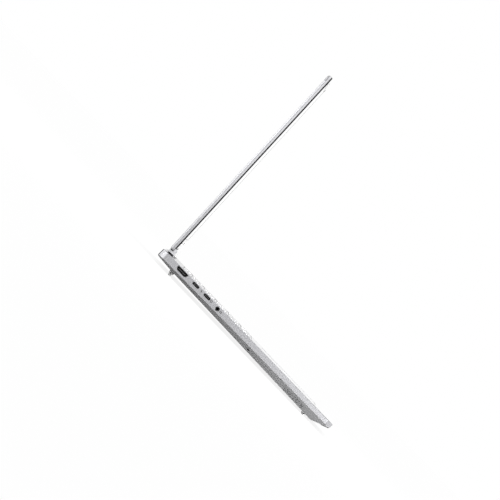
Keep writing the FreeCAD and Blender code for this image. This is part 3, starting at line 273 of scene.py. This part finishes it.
frameFinish = {
    "dark": 0.42, "light": 0.47, "smooth": 0.5, "rough": 0.6, "grain": 0.2, "depth": 0.01, "cool": 0.03,
}
frameEndLight = {"limit": 0.5, "tone": 0.85}


def frameLook(place):  # painted light: the faces looking left and right, the ends of the gaps between the rows, are painted pale against their shade
    return paintEndLight(place, blasted(place, **frameFinish), **frameEndLight)


bumperFinish = {"dark": 0.03, "light": 0.05, "smooth": 0.6, "rough": 0.75, "grain": 0.3, "depth": 0.02}
bumperEndLight = {"limit": 0.25, "tone": 0.8}


def bumperLook(place):  # dark faces; the ends looking left and right are painted pale, a painted highlight
    return paintEndLight(place, blasted(place, **bumperFinish), **bumperEndLight)


rubberDust = {
    "size": 3.5, "detail": 5, "coarse": 0.7, "low": 0.45, "high": 0.8, "dark": 0.4, "light": 0.47,
    "smooth": 0.72, "rougher": 0.12, "grain": 0.3, "grainDetail": 3, "depth": 0.03,
}


def rubberLook(place):
    dust = place.noise(rubberDust["size"], rubberDust["detail"], rubberDust["coarse"])
    dust = dust.ramp((rubberDust["low"], 0), (rubberDust["high"], 1))
    return {
        "Base Color": dust.mix(grey(rubberDust["dark"]), grey(rubberDust["light"])),
        "Roughness": dust * rubberDust["rougher"] + rubberDust["smooth"],
        "Normal": place.noise(rubberDust["grain"], rubberDust["grainDetail"]).bump(rubberDust["depth"]),
    }


screenArea = {"half": 170.6, "low": 40.5, "high": 251.2}  # lit part of the panel, in mm
screenFinish = {
    "edge": grey(0.004), "panel": (0.009, 0.0095, 0.011, 1), "smooth": 0.015, "rougher": 0.01,
    "smear": 30, "smearDetail": 4, "coarse": 0.6, "smearRough": 0.03,
    "grain": 0.4, "grainDetail": 1, "depth": 0.0004,
}


def screenLook(place):
    finish = screenFinish
    inside = within(place, "X", -screenArea["half"], screenArea["half"])
    inside = inside * within(place, "Z", screenArea["low"], screenArea["high"])
    smear = place.noise(finish["smear"], finish["smearDetail"], finish["coarse"])
    return {
        "Base Color": inside.mix(finish["edge"], finish["panel"]),
        "Roughness": smear * finish["smearRough"] + finish["smooth"] + inside * finish["rougher"],
        "Normal": place.noise(finish["grain"], finish["grainDetail"]).bump(finish["depth"]),
    }


boardPattern = {"trace": 1.6, "line": 0.00022, "faint": 0.35, "pad": 3.1, "dot": 0.12}  # cells in mm
boardFinish = {  # the first of each pair is the mask's, the second the metal's
    "dark": (0.012, 0.07, 0.04, 1), "light": (0.3, 0.28, 0.16, 1), "smooth": 0.55, "rough": 0.35, "depth": 0.02,
}


def boardLook(place):
    traces = place.cells(boardPattern["trace"], "DISTANCE_TO_EDGE") < boardPattern["line"]
    pads = place.cells(boardPattern["pad"]) < boardPattern["dot"]
    both = traces * boardPattern["faint"] + pads
    return mottled(both.maths("MINIMUM", both, 1.0), **boardFinish)


copperStain = {
    "clean": (0.66, 0.32, 0.2, 1), "stained": (0.42, 0.2, 0.12, 1), "size": 8, "detail": 4, "coarse": 0.6,
    "low": 0.35, "high": 0.75, "smooth": 0.2, "rougher": 0.2,
}
copperLines = {"squeeze": 0.04, "size": 0.25, "detail": 3, "rougher": 0.12, "depth": 0.01}


def copperLook(place):
    stain = place.noise(copperStain["size"], copperStain["detail"], copperStain["coarse"])
    stain = stain.ramp((copperStain["low"], 0), (copperStain["high"], 1))
    lines = place.stretch(1, copperLines["squeeze"], 1).noise(copperLines["size"], copperLines["detail"])
    rough = stain * copperStain["rougher"] + lines * copperLines["rougher"] + copperStain["smooth"]
    return {
        "Base Color": stain.mix(copperStain["clean"], copperStain["stained"]),
        "Roughness": rough,
        "Normal": lines.bump(copperLines["depth"]),
    }


glassFinish = {
    "dark": (0.006, 0.006, 0.012, 1), "light": (0.02, 0.012, 0.035, 1), "size": 0.9, "detail": 1,
    "smooth": 0.03, "rougher": 0.03,
}


def glassLook(place):
    tint = place.noise(glassFinish["size"], glassFinish["detail"])
    return {
        "Base Color": tint.mix(glassFinish["dark"], glassFinish["light"]),
        "Roughness": tint * glassFinish["rougher"] + glassFinish["smooth"],
    }


sleeveThread = 0.35  # in mm
sleeveWeave = {"dark": grey(0.3), "light": grey(0.42), "smooth": 0.55, "rough": 0.75, "depth": 0.06}


def sleeveLook(place):
    return mottled(place.cells(sleeveThread), **sleeveWeave)


steelLook = brushed(dark=0.42, light=0.58, smooth=0.24, rough=0.42, along="X")
sheetLook = brushed(dark=0.5, light=0.62, smooth=0.3, rough=0.44, along="Y")
socketLook = spotted(size=1.2, detail=3, dark=grey(0.02), light=grey(0.045), smooth=0.4, rough=0.6, depth=0.02)
wrapLook = spotted(
    size=14, detail=5, coarse=0.65, dark=grey(0.018), light=grey(0.04), smooth=0.25, rough=0.5, depth=0.15,
)
filmLook = spotted(size=6, detail=3, dark=grey(0.5), light=grey(0.62), smooth=0.35, rough=0.55, depth=0.03)
inkLook = spotted(size=0.15, detail=3, dark=grey(0.02), light=grey(0.04), smooth=0.55, rough=0.75, depth=0.004)
contactLook = spotted(
    size=0.4, detail=3, dark=(0.35, 0.33, 0.36, 1), light=(0.24, 0.22, 0.26, 1),
    smooth=0.45, rough=0.65, depth=0.004,
)
# painted shade: the bottom cover is coloured dark for the shade on the base's underside
coverShadeLook = plain(dark=0.08, light=0.092, smooth=0.4, rough=0.44, grain=0.16, depth=0.001, cool=0.02)
padLook = plain(dark=0.48, light=0.52, smooth=0.3, rough=0.38, grain=0.09, depth=0.003, cool=0.03)
blackRubberLook = plain(dark=0.01, light=0.02, smooth=0.6, rough=0.75, grain=0.3, depth=0.02)
# painted shade: the front feet get a darker copy of the grey rubber, for the shade they sit in
frontFootShadeLook = plain(dark=0.2, light=0.24, smooth=0.6, rough=0.75, grain=0.3, depth=0.02)
chipLook = plain(dark=0.03, light=0.06, smooth=0.3, rough=0.5, grain=0.25, depth=0.01)
innerLook = plain(dark=0.02, light=0.03, smooth=0.5, rough=0.65, grain=0.3, depth=0.02)

satin = {"Coat_Weight": 1.0, "Coat_Roughness": 0.03}
soft = {"Specular_IOR_Level": 0.3}
darkGloss = {"Specular_IOR_Level": 0.1, "Coat_Roughness": 0.03, "Coat_IOR": 1.15}
darkGlass = {"Specular_IOR_Level": 0.1, "Coat_Weight": 1.0, "Coat_Roughness": 0.02, "Coat_IOR": 1.15}
paints = {  # by the record's slots
    "case_metal": newPaint("blasted aluminium", caseLook, Coat_Roughness=0.03),
    "cover_metal": newPaint("blasted aluminium with painted shade", coverShadeLook, Metallic=0.1),
    "hinge_metal": newPaint("bright satin aluminium", hingeLook, Metallic=1.0, **satin),
    "black_rubber": newPaint("black rubber", blackRubberLook, **soft),
    "rubber": newPaint("grey rubber", rubberLook, **soft),
    "black_plastic": newPaint("black plastic", blackLook, **darkGloss),
    "frame_plastic": newPaint("frame plastic", frameLook, Metallic=0.25, Coat_Weight=0.8, Coat_Roughness=0.015),
    "key_plastic": newPaint("silver key plastic", keyLook, Metallic=0.25, Coat_Weight=0.75, Coat_Roughness=0.015),
    "pad_face": newPaint("touchpad glass", padLook, Metallic=0.6, **satin),
    "screen": newPaint("dark screen", screenLook, **darkGlass),
    "steel": newPaint("brushed steel", steelLook, Metallic=1.0),
    "socket_metal": newPaint("dark socket metal", socketLook, Metallic=0.5),
    "inner_metal": newPaint("aluminium sheet", sheetLook, Metallic=1.0),
    "circuit_board": newPaint("solder mask", boardLook, Specular_IOR_Level=0.6),
    "chip": newPaint("chip resin", chipLook),
    "copper": newPaint("copper", copperLook, Metallic=1.0),
    "inner_plastic": newPaint("inner plastic", innerLook),
    "battery_wrap": newPaint("battery film", wrapLook),
    "lens_glass": newPaint("lens glass", glassLook, Coat_Weight=1.0, Coat_Roughness=0.02),
    "cable_jacket": newPaint("cable sleeve", sleeveLook),
    "membrane": newPaint("milky film", filmLook),
}
nodePaints = {  # nodes that differ from their slot
    "hinge_strip": newPaint("black strip", stripLook, **darkGloss),
    "front_feet": newPaint("grey rubber with painted shade", frontFootShadeLook, **soft),
    "lid_bumpers": newPaint("soft grey rubber", bumperLook, **soft),
}
inkPaint = newPaint("printed ink", inkLook, Coat_Weight=1.0, Coat_Roughness=0.05)
contactPaint = newPaint("plated contacts", contactLook, Metallic=1.0)
for part in frame["record"]["subparts"]:
    node = nodes[part["node"]]
    node.data.materials.clear()
    node.data.materials.append(nodePaints.get(part["node"], paints[part["material_slot"]]))
print("finishes made:", len(paints))


def addObject(name, shape, paint):
    bmesh.ops.recalc_face_normals(shape, faces=shape.faces)
    mesh = bpy.data.meshes.new(name)
    shape.to_mesh(mesh)
    shape.free()
    mesh.materials.append(paint)
    made = bpy.data.objects.new(name, mesh)
    scene.collection.objects.link(made)
    return made


def addPiece(name, shape, paint, body):  # a piece that rides on a body
    piece = addObject(name, shape, paint)
    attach(piece, body)


def addBar(shape, low, high, bevel):  # a box between two corners, in mm, with its edges eased
    corners = bmesh.ops.create_cube(shape, size=1)["verts"]
    low, high = Vector(low) * mm, Vector(high) * mm
    for corner in corners:
        corner.co = Vector((low[i] + (corner.co[i] + 0.5) * (high[i] - low[i]) for i in range(3)))
    edges = {edge for corner in corners for edge in corner.link_edges}
    bmesh.ops.bevel(shape, geom=list(edges), offset=bevel * mm, segments=2, affect="EDGES", profile=0.5)


def addDot(shape, centre, normal, radius, height, sides=12, taper=0.86):  # a low disc on a face, in mm
    turn = Vector(normal).to_track_quat("Z", "Y").to_matrix().to_4x4()
    place = Matrix.Translation(Vector(centre) * mm) @ turn
    bmesh.ops.create_cone(
        shape, cap_ends=True, segments=sides, radius1=radius * mm, radius2=radius * mm * taper,
        depth=height * mm, matrix=place,
    )


def addPolygon(shape, points, place, thick):  # a flat outline, in mm, thickened both ways
    verts = [shape.verts.new(place @ (Vector((x, y, -thick / 2)) * mm)) for x, y in points]
    face = shape.faces.new(verts)
    grown = bmesh.ops.extrude_face_region(shape, geom=[face])["geom"]
    rise = place.to_3x3() @ Vector((0, 0, thick * mm))
    bmesh.ops.translate(shape, vec=rise, verts=[v for v in grown if isinstance(v, bmesh.types.BMVert)])


def addArc(shape, radius, width, start, end, place, thick, steps=24):  # part of a ring, angles in degrees
    outer, inner = [], []
    for i in range(steps + 1):
        angle = math.radians(start + (end - start) * i / steps)
        for ring, reach in ((outer, radius + width / 2), (inner, radius - width / 2)):
            ring.append((reach * math.cos(angle), reach * math.sin(angle)))
    for i in range(steps):
        addPolygon(shape, [inner[i], outer[i], outer[i + 1], inner[i + 1]], place, thick)


# the base's side view: distances forward from the rear end (setbacks) and heights, in mm
base = {
    "half": 179.5, "rear": 119.3165, "depth": 251, "keyTop": 16.0,
    "seamRear": 7.9, "seamFront": 10.8, "bellyTail": 6.5, "bellyRear": 5.3, "bellyFront": 2.6,
    "ramp": 21, "bevel": 20, "sideRun": 0.9,
}
slopeOut = Vector((-1, 0, -base["sideRun"])).normalized()  # away from the left side's slope


def seamHeight(setback):
    return base["seamRear"] + (base["seamFront"] - base["seamRear"]) * setback / base["depth"]


def slopePoint(setback, z):  # on the left side's slope, below the seam
    x = base["half"] - base["sideRun"] * (seamHeight(setback) - z)
    return Vector((-x, base["rear"] - setback, z))


def bellyHeight(setback):
    if setback < base["ramp"]:
        return base["bellyTail"] + (base["bellyRear"] - base["bellyTail"]) * setback / base["ramp"]
    run = base["depth"] - base["bevel"] - base["ramp"]
    return base["bellyRear"] + (base["bellyFront"] - base["bellyRear"]) * (setback - base["ramp"]) / run


# speaker holes along each side's slope
grille = {
    "start": 189, "end": 217, "low": 4.0, "high": 7.4, "pitch": 1.15, "rows": 5,
    "radius": 0.36, "rise": 0.04, "sides": 8,
}


def makeGrille():
    shape = bmesh.new()
    count = int((grille["end"] - grille["start"]) / grille["pitch"])
    for row in range(grille["rows"]):
        z = grille["low"] + (grille["high"] - grille["low"]) * row / (grille["rows"] - 1)
        for i in range(count):
            setback = grille["start"] + (i + row % 2 / 2) * grille["pitch"]  # each second row is half a step on
            spot = slopePoint(setback, z)
            for side in (1, -1):
                centre, out = (spot.x * side, spot.y, spot.z), (slopeOut.x * side, 0, slopeOut.z)
                addDot(shape, centre, out, grille["radius"], grille["rise"], grille["sides"])
    addPiece("speaker_holes", shape, paints["black_plastic"], "base")


# a small dark lock slot in the left slope
lockSlot = {"setback": 134.6, "height": 6.3, "width": 3.8, "foot": 2.4, "tall": 1.7, "thick": 0.06}


def makeLockSlot():
    shape = bmesh.new()
    along = Vector((0, -1, 0))
    place = Matrix((along, slopeOut.cross(along), slopeOut)).transposed().to_4x4()
    place.translation = slopePoint(lockSlot["setback"], lockSlot["height"]) * mm
    half, foot, tall = lockSlot["width"] / 2, lockSlot["foot"] / 2, lockSlot["tall"] / 2
    addPolygon(shape, [(-half, tall), (half, tall), (foot, -tall), (-foot, -tall)], place, lockSlot["thick"])
    addPiece("lock_slot", shape, paints["black_plastic"], "base")


# black trim on the rear face, open at the vents
rearTrim = {"half": 168, "low": 7.1, "high": 15.2, "thick": 0.7, "vents": 15, "pitch": 4, "middle": 92}
ventSlot = {"width": 2.6, "low": 8.5, "high": 10.3}


def makeRearTrim():
    rear, t = base["rear"], rearTrim
    shape = bmesh.new()
    edges = [-t["half"]]
    for i in range(t["vents"]):
        middle = t["middle"] + (i - (t["vents"] - 1) / 2) * t["pitch"]
        edges += [middle - ventSlot["width"] / 2, middle + ventSlot["width"] / 2]
    edges.append(t["half"])
    levels = [t["low"], ventSlot["low"], ventSlot["high"], t["high"]]
    grid = [[shape.verts.new((x * mm, (rear + t["thick"]) * mm, z * mm)) for z in levels] for x in edges]
    for i in range(len(edges) - 1):
        for j in range(len(levels) - 1):
            if j == 1 and i % 2 == 1:  # a vent
                continue
            shape.faces.new((grid[i][j], grid[i + 1][j], grid[i + 1][j + 1], grid[i][j + 1]))
    thick = bmesh.ops.extrude_face_region(shape, geom=shape.faces[:])["geom"]
    for vert in thick:
        if isinstance(vert, bmesh.types.BMVert):
            vert.co.y = rear * mm
    addPiece("rear_trim", shape, paints["black_plastic"], "base")


# a dark strip on the front bevel
frontStrip = {"half": 165, "start": 242.4, "end": 250.2, "thick": 0.8, "ease": 0.12}


def makeFrontStrip():
    shape = bmesh.new()
    rise = (base["seamFront"] - base["bellyFront"]) / base["bevel"]
    out = Vector((0, -rise, -1)).normalized()
    start = base["depth"] - base["bevel"]
    ends = []
    for setback in (frontStrip["start"], frontStrip["end"]):
        z = base["bellyFront"] + rise * (setback - start)
        ends.append(Vector((0, base["rear"] - setback, z)))
    ring = []
    for x in (-frontStrip["half"], frontStrip["half"]):
        for end, proud in ((0, 0), (1, 0), (1, 1), (0, 1)):
            spot = ends[end] + out * frontStrip["thick"] * proud + Vector((x, 0, 0))
            ring.append(shape.verts.new(spot * mm))
    for face in ((0, 1, 2, 3), (4, 5, 6, 7), (0, 1, 5, 4), (1, 2, 6, 5), (2, 3, 7, 6), (3, 0, 4, 7)):
        shape.faces.new([ring[i] for i in face])
    ease = frontStrip["ease"] * mm
    bmesh.ops.bevel(shape, geom=shape.edges[:], offset=ease, segments=2, affect="EDGES", profile=0.5)
    addPiece("front_strip", shape, paints["black_rubber"], "base")


makeGrille()
makeLockSlot()
makeRearTrim()
makeFrontStrip()
print("trim made")

# printed letters on the keys: each row's rear edge and depth, and each key's first unit and width, in mm
keyboard = {
    "left": -141, "pitch": 19, "gap": 3, "rise": 0.01,
    "letter": 4.3, "word": 2.7, "small": 2.3, "margin": 2.2,
}
letterPlace = {  # shares of a key's width and depth, and of the letters' size
    "across": 0.36, "down": 0.4, "pairAcross": 0.34, "upper": 0.3, "lower": 0.68, "pairSize": 0.8,
}
keyRows = [(27, 9.5), (39.5, 15.5), (58, 15.5), (76.5, 15.5), (95, 15.5), (113.5, 15.5)]
legends = {  # body: row, first unit, units per key, words
    "function_keys": (0, 0, 1, ["esc"] + ["f%d" % i for i in range(1, 13)] + ["del"]),
    "number_keys": (1, 0, 1, ["~`", "!1", "@2", "#3", "$4", "%5", "^6", "&7", "*8", "(9", ")0", "_-", "+="]),
    "backspace_key": (1, 13, 2, ["backspace"]),
    "tab_key": (2, 0, 1.5, ["tab"]),
    "upper_letter_keys": (2, 1.5, 1, list("QWERTYUIOP") + ["{[", "}]"]),
    "backslash_key": (2, 13.5, 1.5, ["|\\"]),
    "caps_key": (3, 0, 1.75, ["caps lock"]),
    "home_letter_keys": (3, 1.75, 1, list("ASDFGHJKL") + [":;", "\"'"]),
    "enter_key": (3, 12.75, 2.25, ["enter"]),
    "left_shift_key": (4, 0, 2.25, ["shift"]),
    "lower_letter_keys": (4, 2.25, 1, list("ZXCVBNM") + ["<,", ">.", "?/"]),
    "right_shift_key": (4, 12.25, 2.75, ["shift"]),
}
bottomRow = 5
modifiers = [(0, "ctrl"), (1, "fn"), (2, "sys"), (3, "alt"), (9, "alt"), (10, "menu"), (11, "ctrl")]
arrows = {  # body: unit, rear or front half, direction
    "left_arrow_key": (12, 1, 180), "up_arrow_key": (13, 0, 90),
    "down_arrow_key": (13, 1, 270), "right_arrow_key": (14, 1, 0),
}
arrowKey = {"depth": 7.05, "gap": 1.4, "mark": [(1.1, 0), (-0.8, 1.2), (-0.8, -1.2)]}
powerMark = {
    "unit": 14, "radius": 1.3, "width": 0.3, "start": 125, "end": 415,
    "bar": [(-0.15, 0.3), (0.15, 0.3), (0.15, 1.7), (-0.15, 1.7)],
}


def addText(shape, words, size, place, align="CENTER"):
    curve = bpy.data.curves.new("words", "FONT")
    curve.body = words
    curve.size = size * mm
    curve.align_x = align
    curve.align_y = "CENTER"
    curve.resolution_u = 3
    curve.extrude = keyboard["rise"] / 2 * mm
    holder = bpy.data.objects.new("words", curve)
    mesh = bpy.data.meshes.new_from_object(holder)
    mesh.transform(place)
    shape.from_mesh(mesh)
    bpy.data.meshes.remove(mesh)
    bpy.data.objects.remove(holder)
    bpy.data.curves.remove(curve)


def onKey(x, setback):  # a point on the key tops
    return Matrix.Translation(Vector((x, base["rear"] - setback, base["keyTop"] + keyboard["rise"] / 2)) * mm)


def keyMiddle(unit):  # across a key of one unit
    return keyboard["left"] + unit * keyboard["pitch"] + (keyboard["pitch"] - keyboard["gap"]) / 2


def addLegend(shape, row, first, units, words):
    start, depth = keyRows[row]
    left = keyboard["left"] + first * keyboard["pitch"]
    width = units * keyboard["pitch"] - keyboard["gap"]
    lower = start + depth * letterPlace["lower"]
    if len(words) == 1:
        place = onKey(left + width * letterPlace["across"], start + depth * letterPlace["down"])
        addText(shape, words, keyboard["letter"], place)
    elif len(words) == 2 and not words.isalnum():  # a shifted sign above a plain one
        x, size = left + width * letterPlace["pairAcross"], keyboard["letter"] * letterPlace["pairSize"]
        addText(shape, words[0], size, onKey(x, start + depth * letterPlace["upper"]))
        addText(shape, words[1], size, onKey(x, lower))
    elif row == 0:
        addText(shape, words, keyboard["small"], onKey(left + width / 2, start + depth / 2))
    else:
        addText(shape, words, keyboard["word"], onKey(left + keyboard["margin"], lower), "LEFT")


def addInk(name, shape, body):
    addPiece(name, shape, inkPaint, body)


def makeLegends():
    for body, (row, first, units, words) in legends.items():
        shape = bmesh.new()
        for i, word in enumerate(words):
            addLegend(shape, row, first + i, units, word)
        addInk(body + "_letters", shape, body)
    shape = bmesh.new()
    for unit, word in modifiers:
        addLegend(shape, bottomRow, unit, 1, word)
    addInk("modifier_keys_letters", shape, "modifier_keys")
    for body, (unit, half, turn) in arrows.items():
        shape = bmesh.new()
        setback = keyRows[bottomRow][0] + arrowKey["depth"] / 2 + half * (arrowKey["depth"] + arrowKey["gap"])
        place = onKey(keyMiddle(unit), setback) @ Matrix.Rotation(math.radians(turn), 4, "Z")
        addPolygon(shape, arrowKey["mark"], place, keyboard["rise"])
        addInk(body + "_mark", shape, body)
    shape = bmesh.new()
    place = onKey(keyMiddle(powerMark["unit"]), keyRows[0][0] + keyRows[0][1] / 2)
    reach = [powerMark[key] for key in ("radius", "width", "start", "end")]
    addArc(shape, *reach, place, keyboard["rise"])
    addPolygon(shape, powerMark["bar"], place, keyboard["rise"])
    addInk("power_key_mark", shape, "power_key")


makeLegends()
print("key letters made")

# small printed marks beside the sockets in the left wall: setback and height, then outlines, in mm
portMarks = {"bolt": (58, 13.2), "screen": (72.3, 13.3), "headset": (87.2, 12.6), "thick": 0.01}
boltMark = [(-0.5, 1.5), (-1.2, -0.3), (-0.3, -0.3), (0.5, -1.5), (1.2, 0.3), (0.3, 0.3)]
screenMark = [  # low and high corner of each bar
    ((-1.2, 0.8), (1.2, 1.3)), ((-1.2, -0.8), (1.2, -0.3)), ((-1.2, -0.3), (-0.7, 0.8)),
    ((0.7, -0.3), (1.2, 0.8)), ((-0.7, -1.5), (0.7, -1.1)),
]
headsetMark = {"radius": 0.9, "width": 0.7, "ear": 0.55, "drop": 1.3, "steps": 12}


def onWall(setback, z):  # x of a mark runs to the front, its y up
    turn = Matrix(((0, 0, -1), (-1, 0, 0), (0, 1, 0))).to_4x4()
    spot = Vector((-base["half"] - portMarks["thick"] / 2, base["rear"] - setback, z))
    return Matrix.Translation(spot * mm) @ turn


def addRectangle(shape, low, high, place, thick):
    addPolygon(shape, [low, (high[0], low[1]), high, (low[0], high[1])], place, thick)


def makePortMarks():
    shape = bmesh.new()
    thick = portMarks["thick"]
    addPolygon(shape, boltMark, onWall(*portMarks["bolt"]), thick)
    for low, high in screenMark:
        addRectangle(shape, low, high, onWall(*portMarks["screen"]), thick)
    place = onWall(*portMarks["headset"])
    radius, ear = headsetMark["radius"], headsetMark["ear"]
    addArc(shape, radius, headsetMark["width"], 0, 180, place, thick, headsetMark["steps"])
    for side in (-radius, radius):
        addRectangle(shape, (side - ear, -headsetMark["drop"]), (side + ear, 0), place, thick)
    addInk("socket_marks", shape, "base")


# contacts on each socket's tongue: plated pads above and below, in a dark moulding
contacts = {
    "mouth": 179.25, "start": 1.6, "length": 4.2, "thick": 0.06, "tongue": 0.8, "share": 0.3, "ease": 0.02,
}
sockets = [  # side, setback, height, tongue width, pads
    (-1, 29.6, 12.7, 9.6, 10), (-1, 49.4, 13.4, 6.6, 8), (-1, 66.0, 13.4, 6.6, 8),
    (1, 34, 11.6, 11, 4), (1, 56, 11.6, 11, 4),
]


def makeContacts():
    shape = bmesh.new()
    outer = contacts["mouth"] - contacts["start"]
    for side, setback, z, width, pads in sockets:
        pitch = width / pads
        ends = sorted((side * outer, side * (outer - contacts["length"])))
        for i in range(pads):
            y = base["rear"] - setback + (i - (pads - 1) / 2) * pitch
            for face in (-1, 1):
                near = z + face * contacts["tongue"] / 2
                far = near + face * contacts["thick"]
                low = (ends[0], y - pitch * contacts["share"], min(near, far))
                addBar(shape, low, (ends[1], y + pitch * contacts["share"], max(near, far)), contacts["ease"])
    addPiece("socket_contacts", shape, contactPaint, "base")


# dark plates at the lower ends of the lid's two legs, painted shade at the legs' ends; lid pieces are drawn
# upright and then leaned
legEndShade = {"inner": 163, "outer": 178, "low": 1.3, "high": 2.1, "front": -1.2, "back": 2.0, "ease": 0.3}
lidTurn = Matrix.Translation(Vector((0, lidPlace["y"], lidPlace["z"])) * mm)
lidTurn = lidTurn @ Matrix.Rotation(math.radians(-lidPlace["lean"]), 4, "X")


def makeLegEndShade():
    shape = bmesh.new()
    for side in (-1, 1):
        across = sorted((side * legEndShade["inner"], side * legEndShade["outer"]))
        low = (across[0], legEndShade["front"], legEndShade["low"])
        addBar(shape, low, (across[1], legEndShade["back"], legEndShade["high"]), legEndShade["ease"])
    shape.transform(lidTurn)
    addPiece("leg_plugs", shape, paints["black_rubber"], "lid")


# the screws' star sockets: half the distance across and setback of each pair
screwSpots = [(155, 19.5), (152, 120), (140, 226)]
screwMark = {"radius": 1.15, "inner": 0.75, "rise": 0.03, "lift": 0.1, "points": 12}


def makeScrewMarks():
    shape = bmesh.new()
    star = []
    for i in range(screwMark["points"]):
        reach = screwMark["radius"] if i % 2 == 0 else screwMark["inner"]
        angle = i * 2 * math.pi / screwMark["points"]
        star.append((reach * math.cos(angle), reach * math.sin(angle)))
    for across, setback in screwSpots:
        for x in (-across, across):
            z = bellyHeight(setback) + screwMark["lift"]
            place = Matrix.Translation(Vector((x, base["rear"] - setback, z)) * mm)
            addPolygon(shape, star, place, screwMark["rise"])
    addPiece("screw_stars", shape, paints["black_plastic"], "base")


# two microphone holes and a light beside the lens
cameraMarks = {
    "height": 240.3, "front": -2.5, "holes": (-34, 34), "hole": 0.55, "light": (9.5, 0.45), "rise": 0.04,
}


def lidDots(places, radius):
    shape = bmesh.new()
    for x in places:
        centre = (x, cameraMarks["front"], cameraMarks["height"])
        addDot(shape, centre, (0, -1, 0), radius, cameraMarks["rise"])
    shape.transform(lidTurn)
    return shape


def makeCameraMarks():
    addInk("microphone_holes", lidDots(cameraMarks["holes"], cameraMarks["hole"]), "lid")
    x, radius = cameraMarks["light"]
    addPiece("camera_light", lidDots([x], radius), paints["membrane"], "lid")


makePortMarks()
makeContacts()
makeLegEndShade()
makeScrewMarks()
makeCameraMarks()
print("small marks made")

# camera, turned so that the base runs down to the right as in the photograph; in mm, and the reach in metres
view = {
    "roll": 46.2, "setback": 61.8, "height": 78.8, "distance": 7500, "width": 515, "sensor": 36, "reach": 100,
}


def makeCamera():
    lens = bpy.data.cameras.new("camera")
    lens.sensor_width = view["sensor"]
    lens.lens = view["sensor"] * view["distance"] / view["width"]
    lens.clip_end = view["reach"]
    camera = bpy.data.objects.new("camera", lens)
    scene.collection.objects.link(camera)
    turn = math.radians(view["roll"])
    right = Vector((0, -math.cos(turn), math.sin(turn)))
    up = Vector((0, math.sin(turn), math.cos(turn)))
    back = Vector((-1, 0, 0))
    camera.matrix_world = Matrix((
        (right.x, up.x, back.x, -(base["half"] + view["distance"]) * mm),
        (right.y, up.y, back.y, (base["rear"] - view["setback"]) * mm),
        (right.z, up.z, back.z, view["height"] * mm),
        (0, 0, 0, 1),
    ))
    scene.camera = camera


def seenDirectly(sock):  # rays that should meet the white background
    camera = sock.node("ShaderNodeLightPath", {}, {}, "Is Camera Ray")
    glossy = sock.node("ShaderNodeLightPath", {}, {}, "Is Glossy Ray")
    clear = sock.node("ShaderNodeLightPath", {}, {}, "Is Transmission Ray")
    return sock.maths("MAXIMUM", sock.maths("MAXIMUM", camera, glossy), clear)


# a wide disc just under the feet, its radius in metres and its drop in mm
# share is how much of the white background it shows
paleFloor = {"radius": 20, "sides": 96, "drop": 0.05, "tone": 0.95, "rough": 0.9, "share": 0.85}


def makeFloor():
    shape = bmesh.new()
    bmesh.ops.create_circle(shape, cap_ends=True, segments=paleFloor["sides"], radius=paleFloor["radius"])
    for vert in shape.verts:
        vert.co.z = -paleFloor["drop"] * mm
    paint = bpy.data.materials.new("pale floor")
    paint.use_nodes = True
    tree = paint.node_tree
    shader = tree.nodes["Principled BSDF"]
    shader.inputs["Base Color"].default_value = grey(paleFloor["tone"])
    shader.inputs["Roughness"].default_value = paleFloor["rough"]
    matt = Sock(tree, shader.outputs[0])
    glow = matt.node("ShaderNodeEmission", {}, {"Color": grey(1), "Strength": 1.0})
    both = matt.node("ShaderNodeMixShader", {}, {0: seenDirectly(matt) * paleFloor["share"], 1: matt, 2: glow})
    tree.links.new(both.out, tree.nodes["Material Output"].inputs["Surface"])
    floor = addObject("floor", shape, paint)


studio = {"fill": 1.0}
lamps = [  # name, place and aim in metres, width and height, watts, spread in degrees, seen in shiny faces
    ("frontLamp", (-1.1, -0.3, 0.06), (-0.18, -0.12, 0.02), (0.3, 0.3), 1.7, 180, True),
    ("lowLamp", (-0.6, -0.4, 0.03), (-0.17, -0.1, 0.01), (0.12, 0.12), 0.75, 40, False),
    ("headLamp", (-1.1, 0.125, 0.22), (-0.18, 0.125, 0.22), (0.3, 0.3), 0.0145, 22, True),
    ("rearSoftbox", (-0.92, 1.31, 0.07), (-0.15, 0.12, 0.03), (1.4, 0.3), 6.0, 180, True),
    ("rearStrip", (0.35, 1.5, 0.07), (-0.17, 0.115, 0.03), (1.8, 0.3), 4.2, 180, True),
    ("frontSoftbox", (-0.92, -1.31, 0.15), (-0.15, -0.13, 0.02), (1.4, 0.5), 3.0, 180, True),
    ("frontStrip", (0.35, -1.5, 0.15), (-0.17, -0.128, 0.02), (1.8, 0.5), 3.5, 180, True),
    ("topLamp", (-0.17, 0.18, 1.1), (-0.17, 0.13, 0.26), (2.0, 0.3), 2.6, 180, True),
    ("backLamp", (-0.1, 1.1, 0.75), (-0.18, 0.14, 0.262), (1.2, 0.6), 2.5, 180, True),
    ("cornerLamp", (-1.0, 0.16, 0.62), (-0.18, 0.135, 0.262), (0.3, 0.45), 0.03, 20, True),
]


def makeStudio():
    for name, place, aim, size, watts, spread, shine in lamps:
        light = bpy.data.lights.new(name, "AREA")
        light.shape = "RECTANGLE"
        light.size, light.size_y = size
        light.energy = watts
        light.spread = math.radians(spread)
        lamp = bpy.data.objects.new(name, light)
        scene.collection.objects.link(lamp)
        lamp.location = place
        lamp.rotation_euler = (Vector(aim) - Vector(place)).to_track_quat("-Z", "Y").to_euler()
        lamp.visible_camera = False
        lamp.visible_glossy = shine
    world = bpy.data.worlds.new("studio")
    scene.world = world
    world.use_nodes = True
    tree = world.node_tree
    fill = Sock(tree, tree.nodes["Background"].outputs[0])
    tree.nodes["Background"].inputs["Color"].default_value = grey(studio["fill"])
    white = fill.node("ShaderNodeBackground", {}, {"Color": grey(1), "Strength": 1.0})
    both = fill.node("ShaderNodeMixShader", {}, {0: seenDirectly(fill), 1: fill, 2: white})
    tree.links.new(both.out, tree.nodes["World Output"].inputs["Surface"])


makeCamera()
makeFloor()
makeStudio()
scene.view_settings.view_transform = "Standard"
print("studio made")
